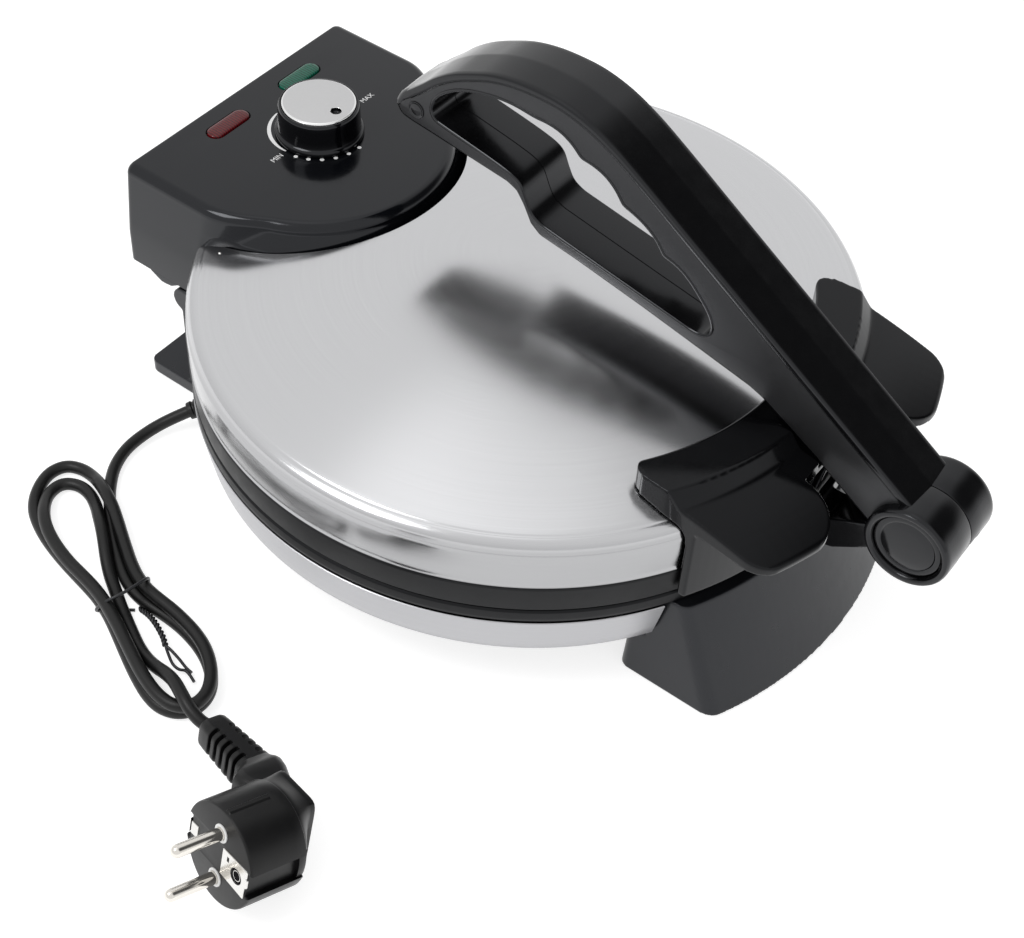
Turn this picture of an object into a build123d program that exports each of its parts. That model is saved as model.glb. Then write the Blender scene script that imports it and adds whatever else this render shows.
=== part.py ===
from build123d import *
import os
from math import sin, cos, tan, radians, acos, sqrt

os.makedirs("parts", exist_ok=True)

# ---------------------------------------------------------------- dimensions (mm)
YC = 25.0            # the lid's axis stands this far behind the origin
R_RIM = 160.0        # lid and shell radius
Z_SH0 = 34.4         # bottom edge of the lower steel shell
Z_SH1 = 57.4         # top edge of the lower steel shell
Z_RIM = 65.6         # top of the lower black rim
Z_LID = 82.2         # bottom edge of the steel lid
Z_DOME = 127.5       # crown of the lid
DOME_K = 1232.0      # dome: z = Z_DOME - r*r/DOME_K
R_PLATE = 146.0      # heating plates
Z_PL0, Z_PL1 = 59.0, 66.0
Z_UP0, Z_UP1 = 66.6, 73.8
W_CUT = 81.8         # half width of the gaps in shell and rims, front and rear
BOX_Z0, BOX_Z1 = 73.6, 129.5
BOX_W = 79.6         # control box half width at its bottom
BOX_YC = 131.2       # centre of the box's front arc
BOX_RF = 73.2        # radius of the box's front arc
BOX_YB = 185.0       # back of the box
BOX_DRAFT = 1.5      # degrees
KNOB_X, KNOB_Y = 3.5, 131.5
HINGE_Y, HINGE_Z = 150.0, 65.0
PIV_Y, PIV_Z = -213.5, 97.3      # lever barrel axis
BAR_R, BAR_W = 20.4, 21.2        # barrel radius and half length
ARM_W = 16.0                     # lever arm half width
CORD_R = 3.1


def top(z):
    return Plane(origin=(0, YC, z))


def side(x):
    return Plane(origin=(x, YC, 0), x_dir=(0, 1, 0), z_dir=(1, 0, 0))


def front(y):
    return Plane(origin=(0, YC + y, 0), x_dir=(1, 0, 0), z_dir=(0, -1, 0))


AXIS = Axis((0, YC, 0), (0, 0, 1))


def dome(r):
    return Z_DOME - r * r / DOME_K


def ring_profile(pts):
    with BuildLine() as ln:
        Polyline(*pts, close=True)
    return ln


# the cord's first run, from its gland to the hank
GL_END = Vector(-97.0, 160.5, 11.0)
ROUTE1 = [(-97.0, 160.5, 11.0), (-104.6, 166.4, 7.6), (-116.0, 171.2, 4.6), (-130.0, 172.3, 3.5), (-143.0, 168.2, 3.2),
          (-153.5, 160.5, 3.15)]


def unit(a, b):
    v = Vector(*b) - Vector(*a)
    return v.normalized(), v.length


def fillet_radii(pts):
    out = []
    for i in range(1, len(pts) - 1):
        u, lu = unit(pts[i - 1], pts[i])
        v, lv = unit(pts[i], pts[i + 1])
        turn = acos(max(-1.0, min(1.0, u.dot(v))))
        out.append(0.45 * min(lu, lv) / tan(turn / 2))
    return out


RAD1 = fillet_radii(ROUTE1)
print("cord radii", [round(r, 1) for r in RAD1])
D1, L1 = unit(ROUTE1[0], ROUTE1[1])

# ---------------------------------------------------------------- base: steel shell
with BuildPart() as base_shell:
    with BuildSketch(front(0)):
        with BuildLine():
            Polyline((143, Z_SH0 + 0.8), (143, Z_SH0), (155.2, Z_SH0), (156.2, Z_SH0 + 1.2), (160.0, Z_SH1 - 0.2),
                     (159.1, Z_SH1 - 0.2), (155.3, Z_SH0 + 1.6), (154.7, Z_SH0 + 0.8), close=True)
        make_face()
    revolve(axis=AXIS)
    with BuildSketch(top(30)):
        with Locations((0, -175), (0, 175)):
            Rectangle(2 * W_CUT, 120)
        Circle(151.5, mode=Mode.SUBTRACT)
    extrude(amount=40, mode=Mode.SUBTRACT)
base_shell.part.label = "base_shell"
export_step(base_shell.part, "parts/base_shell.step")

# lower black rim, carries the lower plate on an inner flange
with BuildPart() as lower_rim:
    with BuildSketch(front(0)):
        with BuildLine():
            Polyline((139, Z_SH1), (158.9, Z_SH1), (159.8, Z_SH1 + 0.9), (159.8, Z_RIM - 1.0), (158.9, Z_RIM),
                     (149, Z_RIM), (149, Z_PL0 - 0.1), (139, Z_PL0 - 0.1), close=True)
        make_face()
    revolve(axis=AXIS)
    with BuildSketch(top(55)):
        with Locations((0, 175)):
            Rectangle(2 * W_CUT, 120)
        Circle(151.5, mode=Mode.SUBTRACT)
    extrude(amount=20, mode=Mode.SUBTRACT)
lower_rim.part.label = "lower_rim"
export_step(lower_rim.part, "parts/lower_rim.step")

# lower heating plate
with BuildPart() as lower_plate:
    with BuildSketch(front(0)):
        with BuildLine():
            Polyline((0, Z_PL0), (R_PLATE, Z_PL0), (R_PLATE, Z_PL1 - 1.6), (R_PLATE - 1.6, Z_PL1), (0, Z_PL1), close=True)
        make_face()
    revolve(axis=AXIS)
lower_plate.part.label = "lower_plate"
export_step(lower_plate.part, "parts/lower_plate.step")

# tubular heating element under the lower plate
with BuildPart() as lower_heater:
    with BuildSketch(front(0)):
        with Locations((98, Z_PL0 - 3.4)):
            Circle(3.3)
    revolve(axis=AXIS, revolution_arc=322)
lower_heater.part.label = "lower_heater"
export_step(lower_heater.part, "parts/lower_heater.step")

# reflector dish under the element
with BuildPart() as base_reflector:
    with BuildSketch(front(0)):
        with BuildLine():
            Polyline((0, 44.0), (128, 44.0), (140.5, 57.2), (146, 57.2), (146, 56.4), (141, 56.4), (128.4, 43.2),
                     (0, 43.2), close=True)
        make_face()
    revolve(axis=AXIS)
base_reflector.part.label = "base_reflector"
export_step(base_reflector.part, "parts/base_reflector.step")

# bottom pan
with BuildPart() as base_pan:
    with BuildSketch(front(0)):
        with BuildLine():
            Polyline((0, 30.2), (142.6, 30.2), (142.6, 34.3), (150.0, 34.3), (150.0, 29.4), (149.0, 28.4), (0, 28.4),
                     close=True)
        make_face()
    revolve(axis=AXIS)
    # slotted vents
    with BuildSketch(top(27)):
        with PolarLocations(70, 12):
            SlotOverall(34, 5)
    extrude(amount=4, mode=Mode.SUBTRACT)
base_pan.part.label = "base_pan"
export_step(base_pan.part, "parts/base_pan.step")

# ---------------------------------------------------------------- front foot housing
FT_Z0, FT_Z1 = 0.9, 57.0


def foot_outline(hw, yr, rf, rc, rr):
    """Straight rear and sides, arc front about the lid's axis."""
    yf = -sqrt(rf * rf - hw * hw)
    with BuildSketch() as s:
        with BuildLine():
            Line((hw, yr), (hw, yf))
            ThreePointArc((hw, yf), (0, -rf), (-hw, yf))
            Line((-hw, yf), (-hw, yr))
            Line((-hw, yr), (hw, yr))
        make_face()
        vs = s.vertices().sort_by(Axis.Y)
        fillet(vs[:2], rc)
        fillet(s.vertices().sort_by(Axis.Y)[-2:], rr)
    return s.sketch


foot_lo = top(FT_Z0) * foot_outline(82.3, -118.5, 188.4, 9.0, 5.0)
foot_hi = top(FT_Z1) * foot_outline(77.8, -119.5, 164.4, 7.0, 5.0)
foot_in_lo = top(FT_Z0 - 0.01) * foot_outline(79.6, -121.2, 185.6, 6.5, 2.5)
foot_in_hi = top(FT_Z1 - 3.0) * foot_outline(75.2, -122.2, 162.8, 4.5, 2.5)

with BuildPart() as foot_cavity:
    loft(sections=[foot_in_lo.faces()[0], foot_in_hi.faces()[0]])
    with BuildSketch(top(25.3)):
        Circle(154.4)
    extrude(amount=40, mode=Mode.SUBTRACT)
    # posts for the rubber pads stay solid
    with BuildSketch(top(0)):
        with Locations((66, -146), (-66, -146)):
            Circle(9)
    extrude(amount=60, mode=Mode.SUBTRACT)

with BuildPart() as front_foot:
    loft(sections=[foot_lo.faces()[0], foot_hi.faces()[0]])
    with BuildSketch(top(27.9)):
        Circle(151.8)
    extrude(amount=40, mode=Mode.SUBTRACT)
    add(foot_cavity.part, mode=Mode.SUBTRACT)
    with BuildSketch(top(0)):
        with Locations((66, -146), (-66, -146)):
            Circle(7.0)
    extrude(amount=3.0, mode=Mode.SUBTRACT)
front_foot.part.label = "front_foot"
export_step(front_foot.part, "parts/front_foot.step")

# ---------------------------------------------------------------- rear housing with hinge knuckles
with BuildPart() as rear_housing:
    # foot plate
    with BuildSketch(top(1.6)):
        with Locations((0, 149.3)):
            Rectangle(161, 59)
    extrude(amount=7.4)
    fillet(rear_housing.edges().filter_by(Axis.Z).group_by(Axis.Y)[-1], 4.5)
    # riser behind the shell
    with BuildSketch(top(9.0)):
        with Locations((0, 135.4)):
            Rectangle(159, 32.8)
        with Locations((0, 138)):
            Rectangle(94, 38)
    extrude(amount=48.0)
    # knuckle cheeks
    for sx in (-1, 1):
        with BuildSketch(side(sx * 70.5 - 9)):
            with Locations((HINGE_Y, HINGE_Z)):
                Circle(6.9)
            with BuildLine():
                Polyline((HINGE_Y - 6.9, HINGE_Z), (HINGE_Y - 6.9, 50), (151.8, 50), (151.8, HINGE_Z), close=True)
            make_face()
        extrude(amount=18)
    # room for shell, pan and rim
    with BuildSketch(top(27.9)):
        Circle(151.8)
    extrude(amount=50, mode=Mode.SUBTRACT)
    # bore for the cord's gland
    with BuildSketch(Plane(origin=GL_END - D1 * 32.0, z_dir=D1)):
        Circle(7.1)
    extrude(amount=16, mode=Mode.SUBTRACT)
    # slots the lid's hinge arms swing through
    with BuildSketch(top(34)):
        with Locations((54.6, 160), (-54.6, 160)):
            Rectangle(13.0, 28)
    extrude(amount=50, mode=Mode.SUBTRACT)
    # hinge pin bores
    for x0 in (-78.0, 60.5):
        with BuildSketch(side(x0)):
            with Locations((HINGE_Y, HINGE_Z)):
                Circle(2.95)
        extrude(amount=17.5, mode=Mode.SUBTRACT)
    # inner room, open below
    with BuildSketch(top(0)):
        with Locations((0, 135.4)):
            Rectangle(150, 26)
    extrude(amount=25, mode=Mode.SUBTRACT)
    # recesses for the rubber pads
    with BuildSketch(top(0)):
        with Locations((66, 164), (-66, 164)):
            Circle(7.0)
    extrude(amount=3.0, mode=Mode.SUBTRACT)
rear_housing.part.label = "rear_housing"
export_step(rear_housing.part, "parts/rear_housing.step")

# rubber pads
for nm, px, py in (("pad_front_left", -66, -146), ("pad_front_right", 66, -146), ("pad_rear_left", -66, 164),
                   ("pad_rear_right", 66, 164)):
    with BuildPart() as pad:
        with BuildSketch(top(0)):
            with Locations((px, py)):
                Circle(7.0)
        extrude(amount=3.0)
        fillet(pad.edges().group_by(Axis.Z)[0], 0.6)
    pad.part.label = nm
    export_step(pad.part, "parts/" + nm + ".step")

# hinge pins
for nm, x0 in (("hinge_pin_left", -77.4), ("hinge_pin_right", 49.0)):
    with BuildPart() as pin:
        with BuildSketch(side(x0)):
            with Locations((HINGE_Y, HINGE_Z)):
                Circle(2.95)
        extrude(amount=28.4)
    pin.part.label = nm
    export_step(pin.part, "parts/" + nm + ".step")

# terminal block on the pan
with BuildPart() as terminal_block:
    with BuildSketch(top(30.2)):
        with Locations((62, 84)):
            Rectangle(34, 16)
    extrude(amount=9)
    with BuildSketch(top(39.2)):
        with Locations((52, 84), (62, 84), (72, 84)):
            Circle(2.4)
    extrude(amount=-5, mode=Mode.SUBTRACT)
    fillet(terminal_block.edges().filter_by(Axis.Z).filter_by(GeomType.LINE), 1.2)
terminal_block.part.label = "terminal_block"
export_step(terminal_block.part, "parts/terminal_block.step")

# ---------------------------------------------------------------- lid: plate, element, reflector, rim
with BuildPart() as upper_plate:
    with BuildSketch(front(0)):
        with BuildLine():
            Polyline((0, Z_UP0), (R_PLATE - 1.6, Z_UP0), (R_PLATE, Z_UP0 + 1.6), (R_PLATE, Z_UP1), (0, Z_UP1), close=True)
        make_face()
    revolve(axis=AXIS)
upper_plate.part.label = "upper_plate"
export_step(upper_plate.part, "parts/upper_plate.step")

with BuildPart() as upper_heater:
    with BuildSketch(front(0)):
        with Locations((98, Z_UP1 + 3.4)):
            Circle(3.3)
    revolve(axis=AXIS, revolution_arc=322)
upper_heater.part.label = "upper_heater"
export_step(upper_heater.part, "parts/upper_heater.step")

with BuildPart() as upper_reflector:
    with BuildSketch(front(0)):
        with BuildLine():
            Polyline((0, 84.8), (128, 84.8), (136, 76.8), (144.5, 76.8), (144.5, 77.6), (136.4, 77.6), (128.4, 85.6),
                     (0, 85.6), close=True)
        make_face()
    revolve(axis=AXIS)
upper_reflector.part.label = "upper_reflector"
export_step(upper_reflector.part, "parts/upper_reflector.step")

with BuildPart() as upper_rim:
    with BuildSketch(front(0)):
        with BuildLine():
            Polyline((149, Z_RIM + 0.5), (158.6, Z_RIM + 0.5), (159.5, Z_RIM + 1.4), (159.5, Z_LID - 1.4),
                     (158.9, Z_LID - 0.6), (158.9, Z_LID + 3), (156.4, Z_LID + 3), (156.4, 76.7), (138.4, 76.7),
                     (138.4, 73.9), (149, 73.9), close=True)
        make_face()
    revolve(axis=AXIS)
    with BuildSketch(top(60)):
        with Locations((0, 175)):
            Rectangle(2 * W_CUT, 120)
        Circle(148.8, mode=Mode.SUBTRACT)
    extrude(amount=30, mode=Mode.SUBTRACT)
upper_rim.part.label = "upper_rim"
export_step(upper_rim.part, "parts/upper_rim.step")

# ---------------------------------------------------------------- lid: steel dome
with BuildPart() as lid_shell:
    with BuildSketch(front(0)):
        with BuildLine():
            p0 = (R_RIM, Z_LID)
            p1 = (R_RIM - 0.3, 101.0)
            p2 = (R_RIM - 2.2, 105.6)
            p3 = (R_RIM - 6.6, dome(R_RIM - 6.6))
            Line(p0, p1)
            ThreePointArc(p1, p2, p3)
            ThreePointArc(p3, (80, dome(80) + 0.1), (0, Z_DOME))
            Line((0, Z_DOME), (0, Z_DOME - 0.9))
            q3 = (R_RIM - 6.9, dome(R_RIM - 6.6) - 0.9)
            q2 = (R_RIM - 2.9, 105.0)
            q1 = (R_RIM - 1.2, 100.9)
            ThreePointArc((0, Z_DOME - 0.9), (80, dome(80) - 0.8), q3)
            ThreePointArc(q3, q2, q1)
            Line(q1, (R_RIM - 0.9, Z_LID))
            Line((R_RIM - 0.9, Z_LID), p0)
        make_face()
    revolve(axis=AXIS)
    with BuildSketch(top(60)):
        with Locations((0, BOX_YC)):
            Circle(BOX_RF + 0.6)
        with Locations((0, BOX_YC + 40)):
            Rectangle(2 * (BOX_RF + 0.6), 80)
        with Locations((0, 137.4 + 40)):
            Rectangle(240, 80)
        for sx in (-1, 1):
            with BuildLine():
                Polyline((sx * 72.0, 130.6), (sx * (BOX_RF + 0.8), 130.6), (sx * 81.4, 138.2), (sx * 72.0, 138.2), close=True)
            make_face()
    extrude(amount=80, mode=Mode.SUBTRACT)
    with BuildSketch(top(60)):
        with Locations((0, 172)):
            Rectangle(2 * W_CUT, 60)
    extrude(amount=35.5, mode=Mode.SUBTRACT)
lid_shell.part.label = "lid_shell"
export_step(lid_shell.part, "parts/lid_shell.step")

# ---------------------------------------------------------------- control box


def box_outline(w, yb, rc, arc_r=None):
    """D shape: straight back with rounded corners, sides that step in a little, arc front."""
    r = arc_r or (w - BOX_W + BOX_RF)
    with BuildSketch() as s:
        with BuildLine():
            Line((r, BOX_YC), (w, 137.8))
            Line((w, 137.8), (w, yb))
            Line((w, yb), (-w, yb))
            Line((-w, yb), (-w, 137.8))
            Line((-w, 137.8), (-r, BOX_YC))
            ThreePointArc((-r, BOX_YC), (0, BOX_YC - r), (r, BOX_YC))
        make_face()
        if rc:
            fillet(s.vertices().group_by(Axis.Y)[-1], rc)
    return s.sketch


with BuildPart() as box_inner:
    extrude((top(BOX_Z0 - 1) * box_outline(BOX_W - 2.6, BOX_YB - 2.6, 1.5)).faces()[0],
            amount=BOX_Z1 - 2.8 - BOX_Z0 + 1, taper=BOX_DRAFT)

with BuildPart() as control_box:
    extrude((top(BOX_Z0) * box_outline(BOX_W, BOX_YB, 3.0)).faces()[0], amount=BOX_Z1 - BOX_Z0, taper=BOX_DRAFT)
    try:
        fillet(control_box.edges().group_by(Axis.Z)[-1], 6.4)
        print("box edge: fillet")
    except Exception:
        chamfer(control_box.edges().group_by(Axis.Z)[-1], 5.0, 7.0)
        print("box edge: chamfer")
    add(box_inner.part, mode=Mode.SUBTRACT)
    # the front of the casing stops above the reflector
    with BuildSketch(top(BOX_Z0 - 2)):
        Circle(160.9)
    extrude(amount=90.0 - BOX_Z0 + 2, mode=Mode.SUBTRACT)
    # holes for the knob shaft and the lamps
    with BuildSketch(top(120)):
        with Locations((KNOB_X, KNOB_Y)):
            Circle(4.2)
        with Locations((-21.2, 168.6), (29.8, 167.8)):
            SlotOverall(27.0, 10.2)
    extrude(amount=12, mode=Mode.SUBTRACT)
control_box.part.label = "control_box"
export_step(control_box.part, "parts/control_box.step")

# closing floor of the box behind the rim, with the fairings over the knuckles
with BuildPart() as box_floor:
    extrude((top(BOX_Z0) * box_outline(BOX_W - 2.9, BOX_YB - 2.9, 1.2)).faces()[0], amount=2.4)
    with BuildSketch(top(BOX_Z0 - 1)):
        Circle(161.6)
    extrude(amount=8, mode=Mode.SUBTRACT)
    for sx in (-1, 1):
        with BuildSketch(side(sx * 70.4 - 8.3)):
            with BuildLine():
                Polyline((HINGE_Y + 2.0, BOX_Z0), (HINGE_Y + 23, BOX_Z0), (HINGE_Y + 21.8, BOX_Z0 - 1.4),
                         (165.3, 68.8), (158.8, 69.1), close=True)
            make_face()
            with Locations((HINGE_Y, HINGE_Z)):
                Circle(7.7, mode=Mode.SUBTRACT)
        extrude(amount=16.6)
box_floor.part.label = "box_floor"
export_step(box_floor.part, "parts/box_floor.step")

# hinge arms under the box floor
for nm, x0 in (("hinge_arm_left", -60.0), ("hinge_arm_right", 50.0)):
    with BuildPart() as arm:
        with BuildSketch(side(x0)):
            with Locations((HINGE_Y, HINGE_Z)):
                Circle(6.3)
            with BuildLine():
                Polyline((HINGE_Y - 2.0, HINGE_Z + 5.97), (HINGE_Y + 1, BOX_Z0), (HINGE_Y + 24, BOX_Z0),
                         (HINGE_Y + 24, BOX_Z0 - 2.6), (HINGE_Y + 4.6, HINGE_Z - 4.3), close=True)
            make_face()
            with Locations((HINGE_Y, HINGE_Z)):
                Circle(3.0, mode=Mode.SUBTRACT)
        extrude(amount=10.0)
    arm.part.label = nm
    export_step(arm.part, "parts/" + nm + ".step")

# thermostat with its bushing under the box top
with BuildPart() as thermostat:
    with BuildSketch(top(103.0)):
        with Locations((KNOB_X, KNOB_Y)):
            Rectangle(30, 22)
    extrude(amount=16)
    with BuildSketch(top(119.0)):
        with Locations((KNOB_X, KNOB_Y)):
            Circle(6.5)
    extrude(amount=7.7)
    with BuildSketch(top(118.0)):
        with Locations((KNOB_X, KNOB_Y)):
            Circle(3.3)
    extrude(amount=9, mode=Mode.SUBTRACT)
    # fixing tabs
    with BuildSketch(top(117.0)):
        with Locations((KNOB_X - 20, KNOB_Y), (KNOB_X + 20, KNOB_Y)):
            Rectangle(10, 8)
    extrude(amount=2)
thermostat.part.label = "thermostat"
export_step(thermostat.part, "parts/thermostat.step")

# lamp lenses and holders
for nm, lx, ly in (("lamp_red", -21.2, 168.6), ("lamp_green", 29.8, 167.8)):
    with BuildPart() as lens:
        with BuildSketch(top(123.6)):
            with Locations((lx, ly)):
                SlotOverall(25.8, 9.0)
        extrude(amount=6.7)
        fillet(lens.edges().group_by(Axis.Z)[-1], 1.2)
    lens.part.label = nm
    export_step(lens.part, "parts/" + nm + ".step")
    with BuildPart() as holder:
        with BuildSketch(top(109.6)):
            with Locations((lx, ly)):
                SlotOverall(22, 7.4)
        extrude(amount=14)
        with BuildSketch(top(123.6)):
            with Locations((lx, ly)):
                SlotOverall(30, 12)
                SlotOverall(25.9, 9.1, mode=Mode.SUBTRACT)
        extrude(amount=2.6)
        with BuildSketch(top(122.4)):
            with Locations((lx, ly)):
                SlotOverall(30, 12)
        extrude(amount=1.2)
    holder.part.label = nm.replace("lamp", "lamp_holder")
    export_step(holder.part, "parts/" + nm.replace("lamp", "lamp_holder") + ".step")

# ---------------------------------------------------------------- knob
with BuildPart() as knob_skirt:
    with BuildSketch(Plane(origin=(KNOB_X, YC + KNOB_Y, 0), x_dir=(1, 0, 0), z_dir=(0, -1, 0))):
        with BuildLine():
            Polyline((3.0, 130.4), (20.8, 130.4), (21.0, 131.0), (21.0, 133.2), (20.2, 134.0), (19.9, 144.7), (18.9, 145.8),
                     (18.2, 145.8), (18.2, 144.5), (3.0, 144.5), close=True)
        make_face()
    revolve(axis=Axis((KNOB_X, YC + KNOB_Y, 0), (0, 0, 1)))
    with BuildSketch(top(130.4)):
        with Locations((KNOB_X, KNOB_Y)):
            Circle(16.5)
            Circle(5.5, mode=Mode.SUBTRACT)
    extrude(amount=8, mode=Mode.SUBTRACT)
knob_skirt.part.label = "knob_skirt"
export_step(knob_skirt.part, "parts/knob_skirt.step")

with BuildPart() as knob_disc:
    with BuildSketch(top(144.5)):
        with Locations((KNOB_X, KNOB_Y)):
            Circle(18.1)
    extrude(amount=2.0)
    fillet(knob_disc.edges().group_by(Axis.Z)[-1], 0.5)
    with Locations((KNOB_X, YC + KNOB_Y - 11.4, 147.2)):
        Sphere(2.6, mode=Mode.SUBTRACT)
knob_disc.part.label = "knob_disc"
export_step(knob_disc.part, "parts/knob_disc.step")

with BuildPart() as knob_shaft:
    with BuildSketch(top(118.6)):
        with Locations((KNOB_X, KNOB_Y)):
            Circle(3.0)
    extrude(amount=25.9)
knob_shaft.part.label = "knob_shaft"
export_step(knob_shaft.part, "parts/knob_shaft.step")

# ---------------------------------------------------------------- front bracket (saddle, wings, wall, yoke)


def s_top(r):
    """Height of the bracket's upper surface over the radius."""
    if r <= 151.5:
        return 124.7
    if r <= 160:
        t = (r - 151.5) / 8.5
        return 124.7 - 7.2 * (3 * t * t - 2 * t * t * t)
    return 117.5 - 9.5 * ((r - 160) / 34.0) ** 1.15


# the bracket's ring shapes are turned over this sector only
SECTOR = Plane(origin=(0, YC, 0), x_dir=(cos(radians(-131)), sin(radians(-131)), 0),
               z_dir=(sin(radians(-131)), -cos(radians(-131)), 0))

with BuildPart() as bracket_inner:
    # hollow under the saddle, it sits on the dome with its edges
    with BuildSketch(SECTOR):
        with BuildLine():
            Polyline((133.6, 104.0), (133.6, 122.2), (150.8, 122.2), (157.6, 114.6), (162.0, 113.0), (162.0, 104.0),
                     close=True)
        make_face()
    revolve(axis=AXIS, revolution_arc=82)
    with BuildSketch(top(90)):
        with Locations((-45.8, -140), (45.8, -140)):
            Rectangle(48.4, 120)
    extrude(amount=60, mode=Mode.INTERSECT)

with BuildPart() as dome_body:
    with BuildSketch(SECTOR):
        with BuildLine():
            Line((90, 60), (161.0, 60))
            Line((161.0, 60), (161.0, 101.6))
            ThreePointArc((161.0, 101.6), (159.1, 106.5), (154.0, dome(154) + 0.7))
            ThreePointArc((154.0, dome(154) + 0.7), (124, dome(124) + 0.7), (90, dome(90) + 0.7))
            Line((90, dome(90) + 0.7), (90, 60))
        make_face()
    revolve(axis=AXIS, revolution_arc=82)

with BuildPart() as front_bracket:
    with BuildSketch(SECTOR):
        with BuildLine():
            Line((131.0, 100.0), (131.0, 123.7))
            Line((131.0, 123.7), (132.0, 124.7))
            Line((132.0, 124.7), (151.0, 124.7))
            ThreePointArc((151.0, 124.7), (151.95, 124.42), (152.6, 123.7))
            Line((152.6, 123.7), (156.5, 118.9))
            ThreePointArc((156.5, 118.9), (157.5, 118.0), (159.0, 117.5))
            ThreePointArc((159.0, 117.5), (177.0, s_top(177.0)), (193.0, s_top(193.0)))
            Line((193.0, s_top(193.0)), (194.6, s_top(193.0) - 1.4))
            Line((194.6, s_top(193.0) - 1.4), (194.3, s_top(193.0) - 4.6))
            Line((194.3, s_top(193.0) - 4.6), (165.0, 108.0))
            Line((165.0, 108.0), (165.0, 67.2))
            Line((165.0, 67.2), (161.4, 67.2))
            Line((161.4, 67.2), (161.4, 100.0))
            Line((161.4, 100.0), (131.0, 100.0))
        make_face()
    revolve(axis=AXIS, revolution_arc=82)
    # plan shape
    with BuildSketch(top(50)):
        with BuildLine():
            Polyline((77, -90), (80, -129), (80, -200), (29.5, -200), (29.5, -166), (-29.5, -166), (-29.5, -200), (-80, -200),
                     (-80, -129), (-77, -90), close=True)
        make_face()
    extrude(amount=90, mode=Mode.INTERSECT)
    add(dome_body.part, mode=Mode.SUBTRACT)
    add(bracket_inner.part, mode=Mode.SUBTRACT)
    # rounded rear corners of the saddle, tangent to its side and to its rear arc
    for sx in (-1, 1):
        cx, rad = 72.9, 5.0
        cy = -sqrt((131.0 + rad) ** 2 - cx * cx)
        tx, ty = cx * 131.0 / (131.0 + rad), cy * 131.0 / (131.0 + rad)
        with BuildSketch(top(98)):
            with BuildLine():
                Polyline((sx * cx, cy), (sx * 90.0, cy), (sx * 90.0, cy + 24), (sx * (tx - 1.2), cy + 24), (sx * (tx - 1.2), ty + 1.6),
                         (sx * tx, ty), close=True)
            make_face()
            with Locations((sx * cx, cy)):
                Circle(rad, mode=Mode.SUBTRACT)
        extrude(amount=40, mode=Mode.SUBTRACT)
    # rounded wing corners: outer ones of 15 mm, inner ones of 19 mm, tangent to the side and to the front arc
    for sx in (-1, 1):
        for cx, rad, wall in ((65.0, 15.0, 80.0), (48.5, 19.0, 29.5)):
            cy = -sqrt((194.6 - rad) ** 2 - cx * cx)
            tx, ty = cx * 194.6 / (194.6 - rad), cy * 194.6 / (194.6 - rad)
            far = 8.0 if wall > cx else -8.0
            with BuildSketch(top(90)):
                with BuildLine():
                    Polyline((sx * cx, cy), (sx * wall, cy), (sx * (wall + far), cy), (sx * (wall + far), cy - 40),
                             (sx * tx * 1.06, ty * 1.06), (sx * tx, ty), close=True)
                make_face()
                with Locations((sx * cx, cy)):
                    Circle(rad, mode=Mode.SUBTRACT)
            extrude(amount=60, mode=Mode.SUBTRACT)
    # window in the arc wall, two diagonal ribs are left in it
    with BuildSketch(front(-150)):
        with Locations((0, 92)):
            Rectangle(40, 30)
        with Locations((-8, 92)):
            Rectangle(2.6, 50, rotation=-32, mode=Mode.SUBTRACT)
        with Locations((9, 92)):
            Rectangle(2.6, 50, rotation=32, mode=Mode.SUBTRACT)
    extrude(amount=20, mode=Mode.SUBTRACT)
    # channel in which the resting lever lies
    with BuildSketch(side(-17.2)):
        with BuildLine():
            Polyline((-120.0, 133.4), (-132.4, 130.9), (-163.2, 113.2), (-170.3, 108.4), (-191.1, 95.2), (-191.1, 150.0),
                     (-120.0, 150.0), close=True)
        make_face()
    extrude(amount=34.4, mode=Mode.SUBTRACT)
    # yoke that carries the lever
    with BuildSketch(side(-9.6)):
        with Locations((PIV_Y, PIV_Z)):
            Circle(11.6)
        with BuildLine():
            Polyline((PIV_Y - 6, PIV_Z - 9.0), (-195.0, 73.2), (-178.0, 61.0), (-173.0, 59.6), (-162.4, 59.6),
                     (-162.4, 76.0), (-172.0, 76.4), (-190.0, 86.4), (PIV_Y + 8.8, PIV_Z + 7.2), close=True)
        make_face()
        with Locations((PIV_Y, PIV_Z)):
            Circle(4.0, mode=Mode.SUBTRACT)
    extrude(amount=19.2)
front_bracket.part.label = "front_bracket"
export_step(front_bracket.part, "parts/front_bracket.step")

# lever pivot pin, fixed in the yoke
with BuildPart() as lever_pin:
    with BuildSketch(side(-16.6)):
        with Locations((PIV_Y, PIV_Z)):
            Circle(4.0)
    extrude(amount=33.2)
lever_pin.part.label = "lever_pin"
export_step(lever_pin.part, "parts/lever_pin.step")

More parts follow.
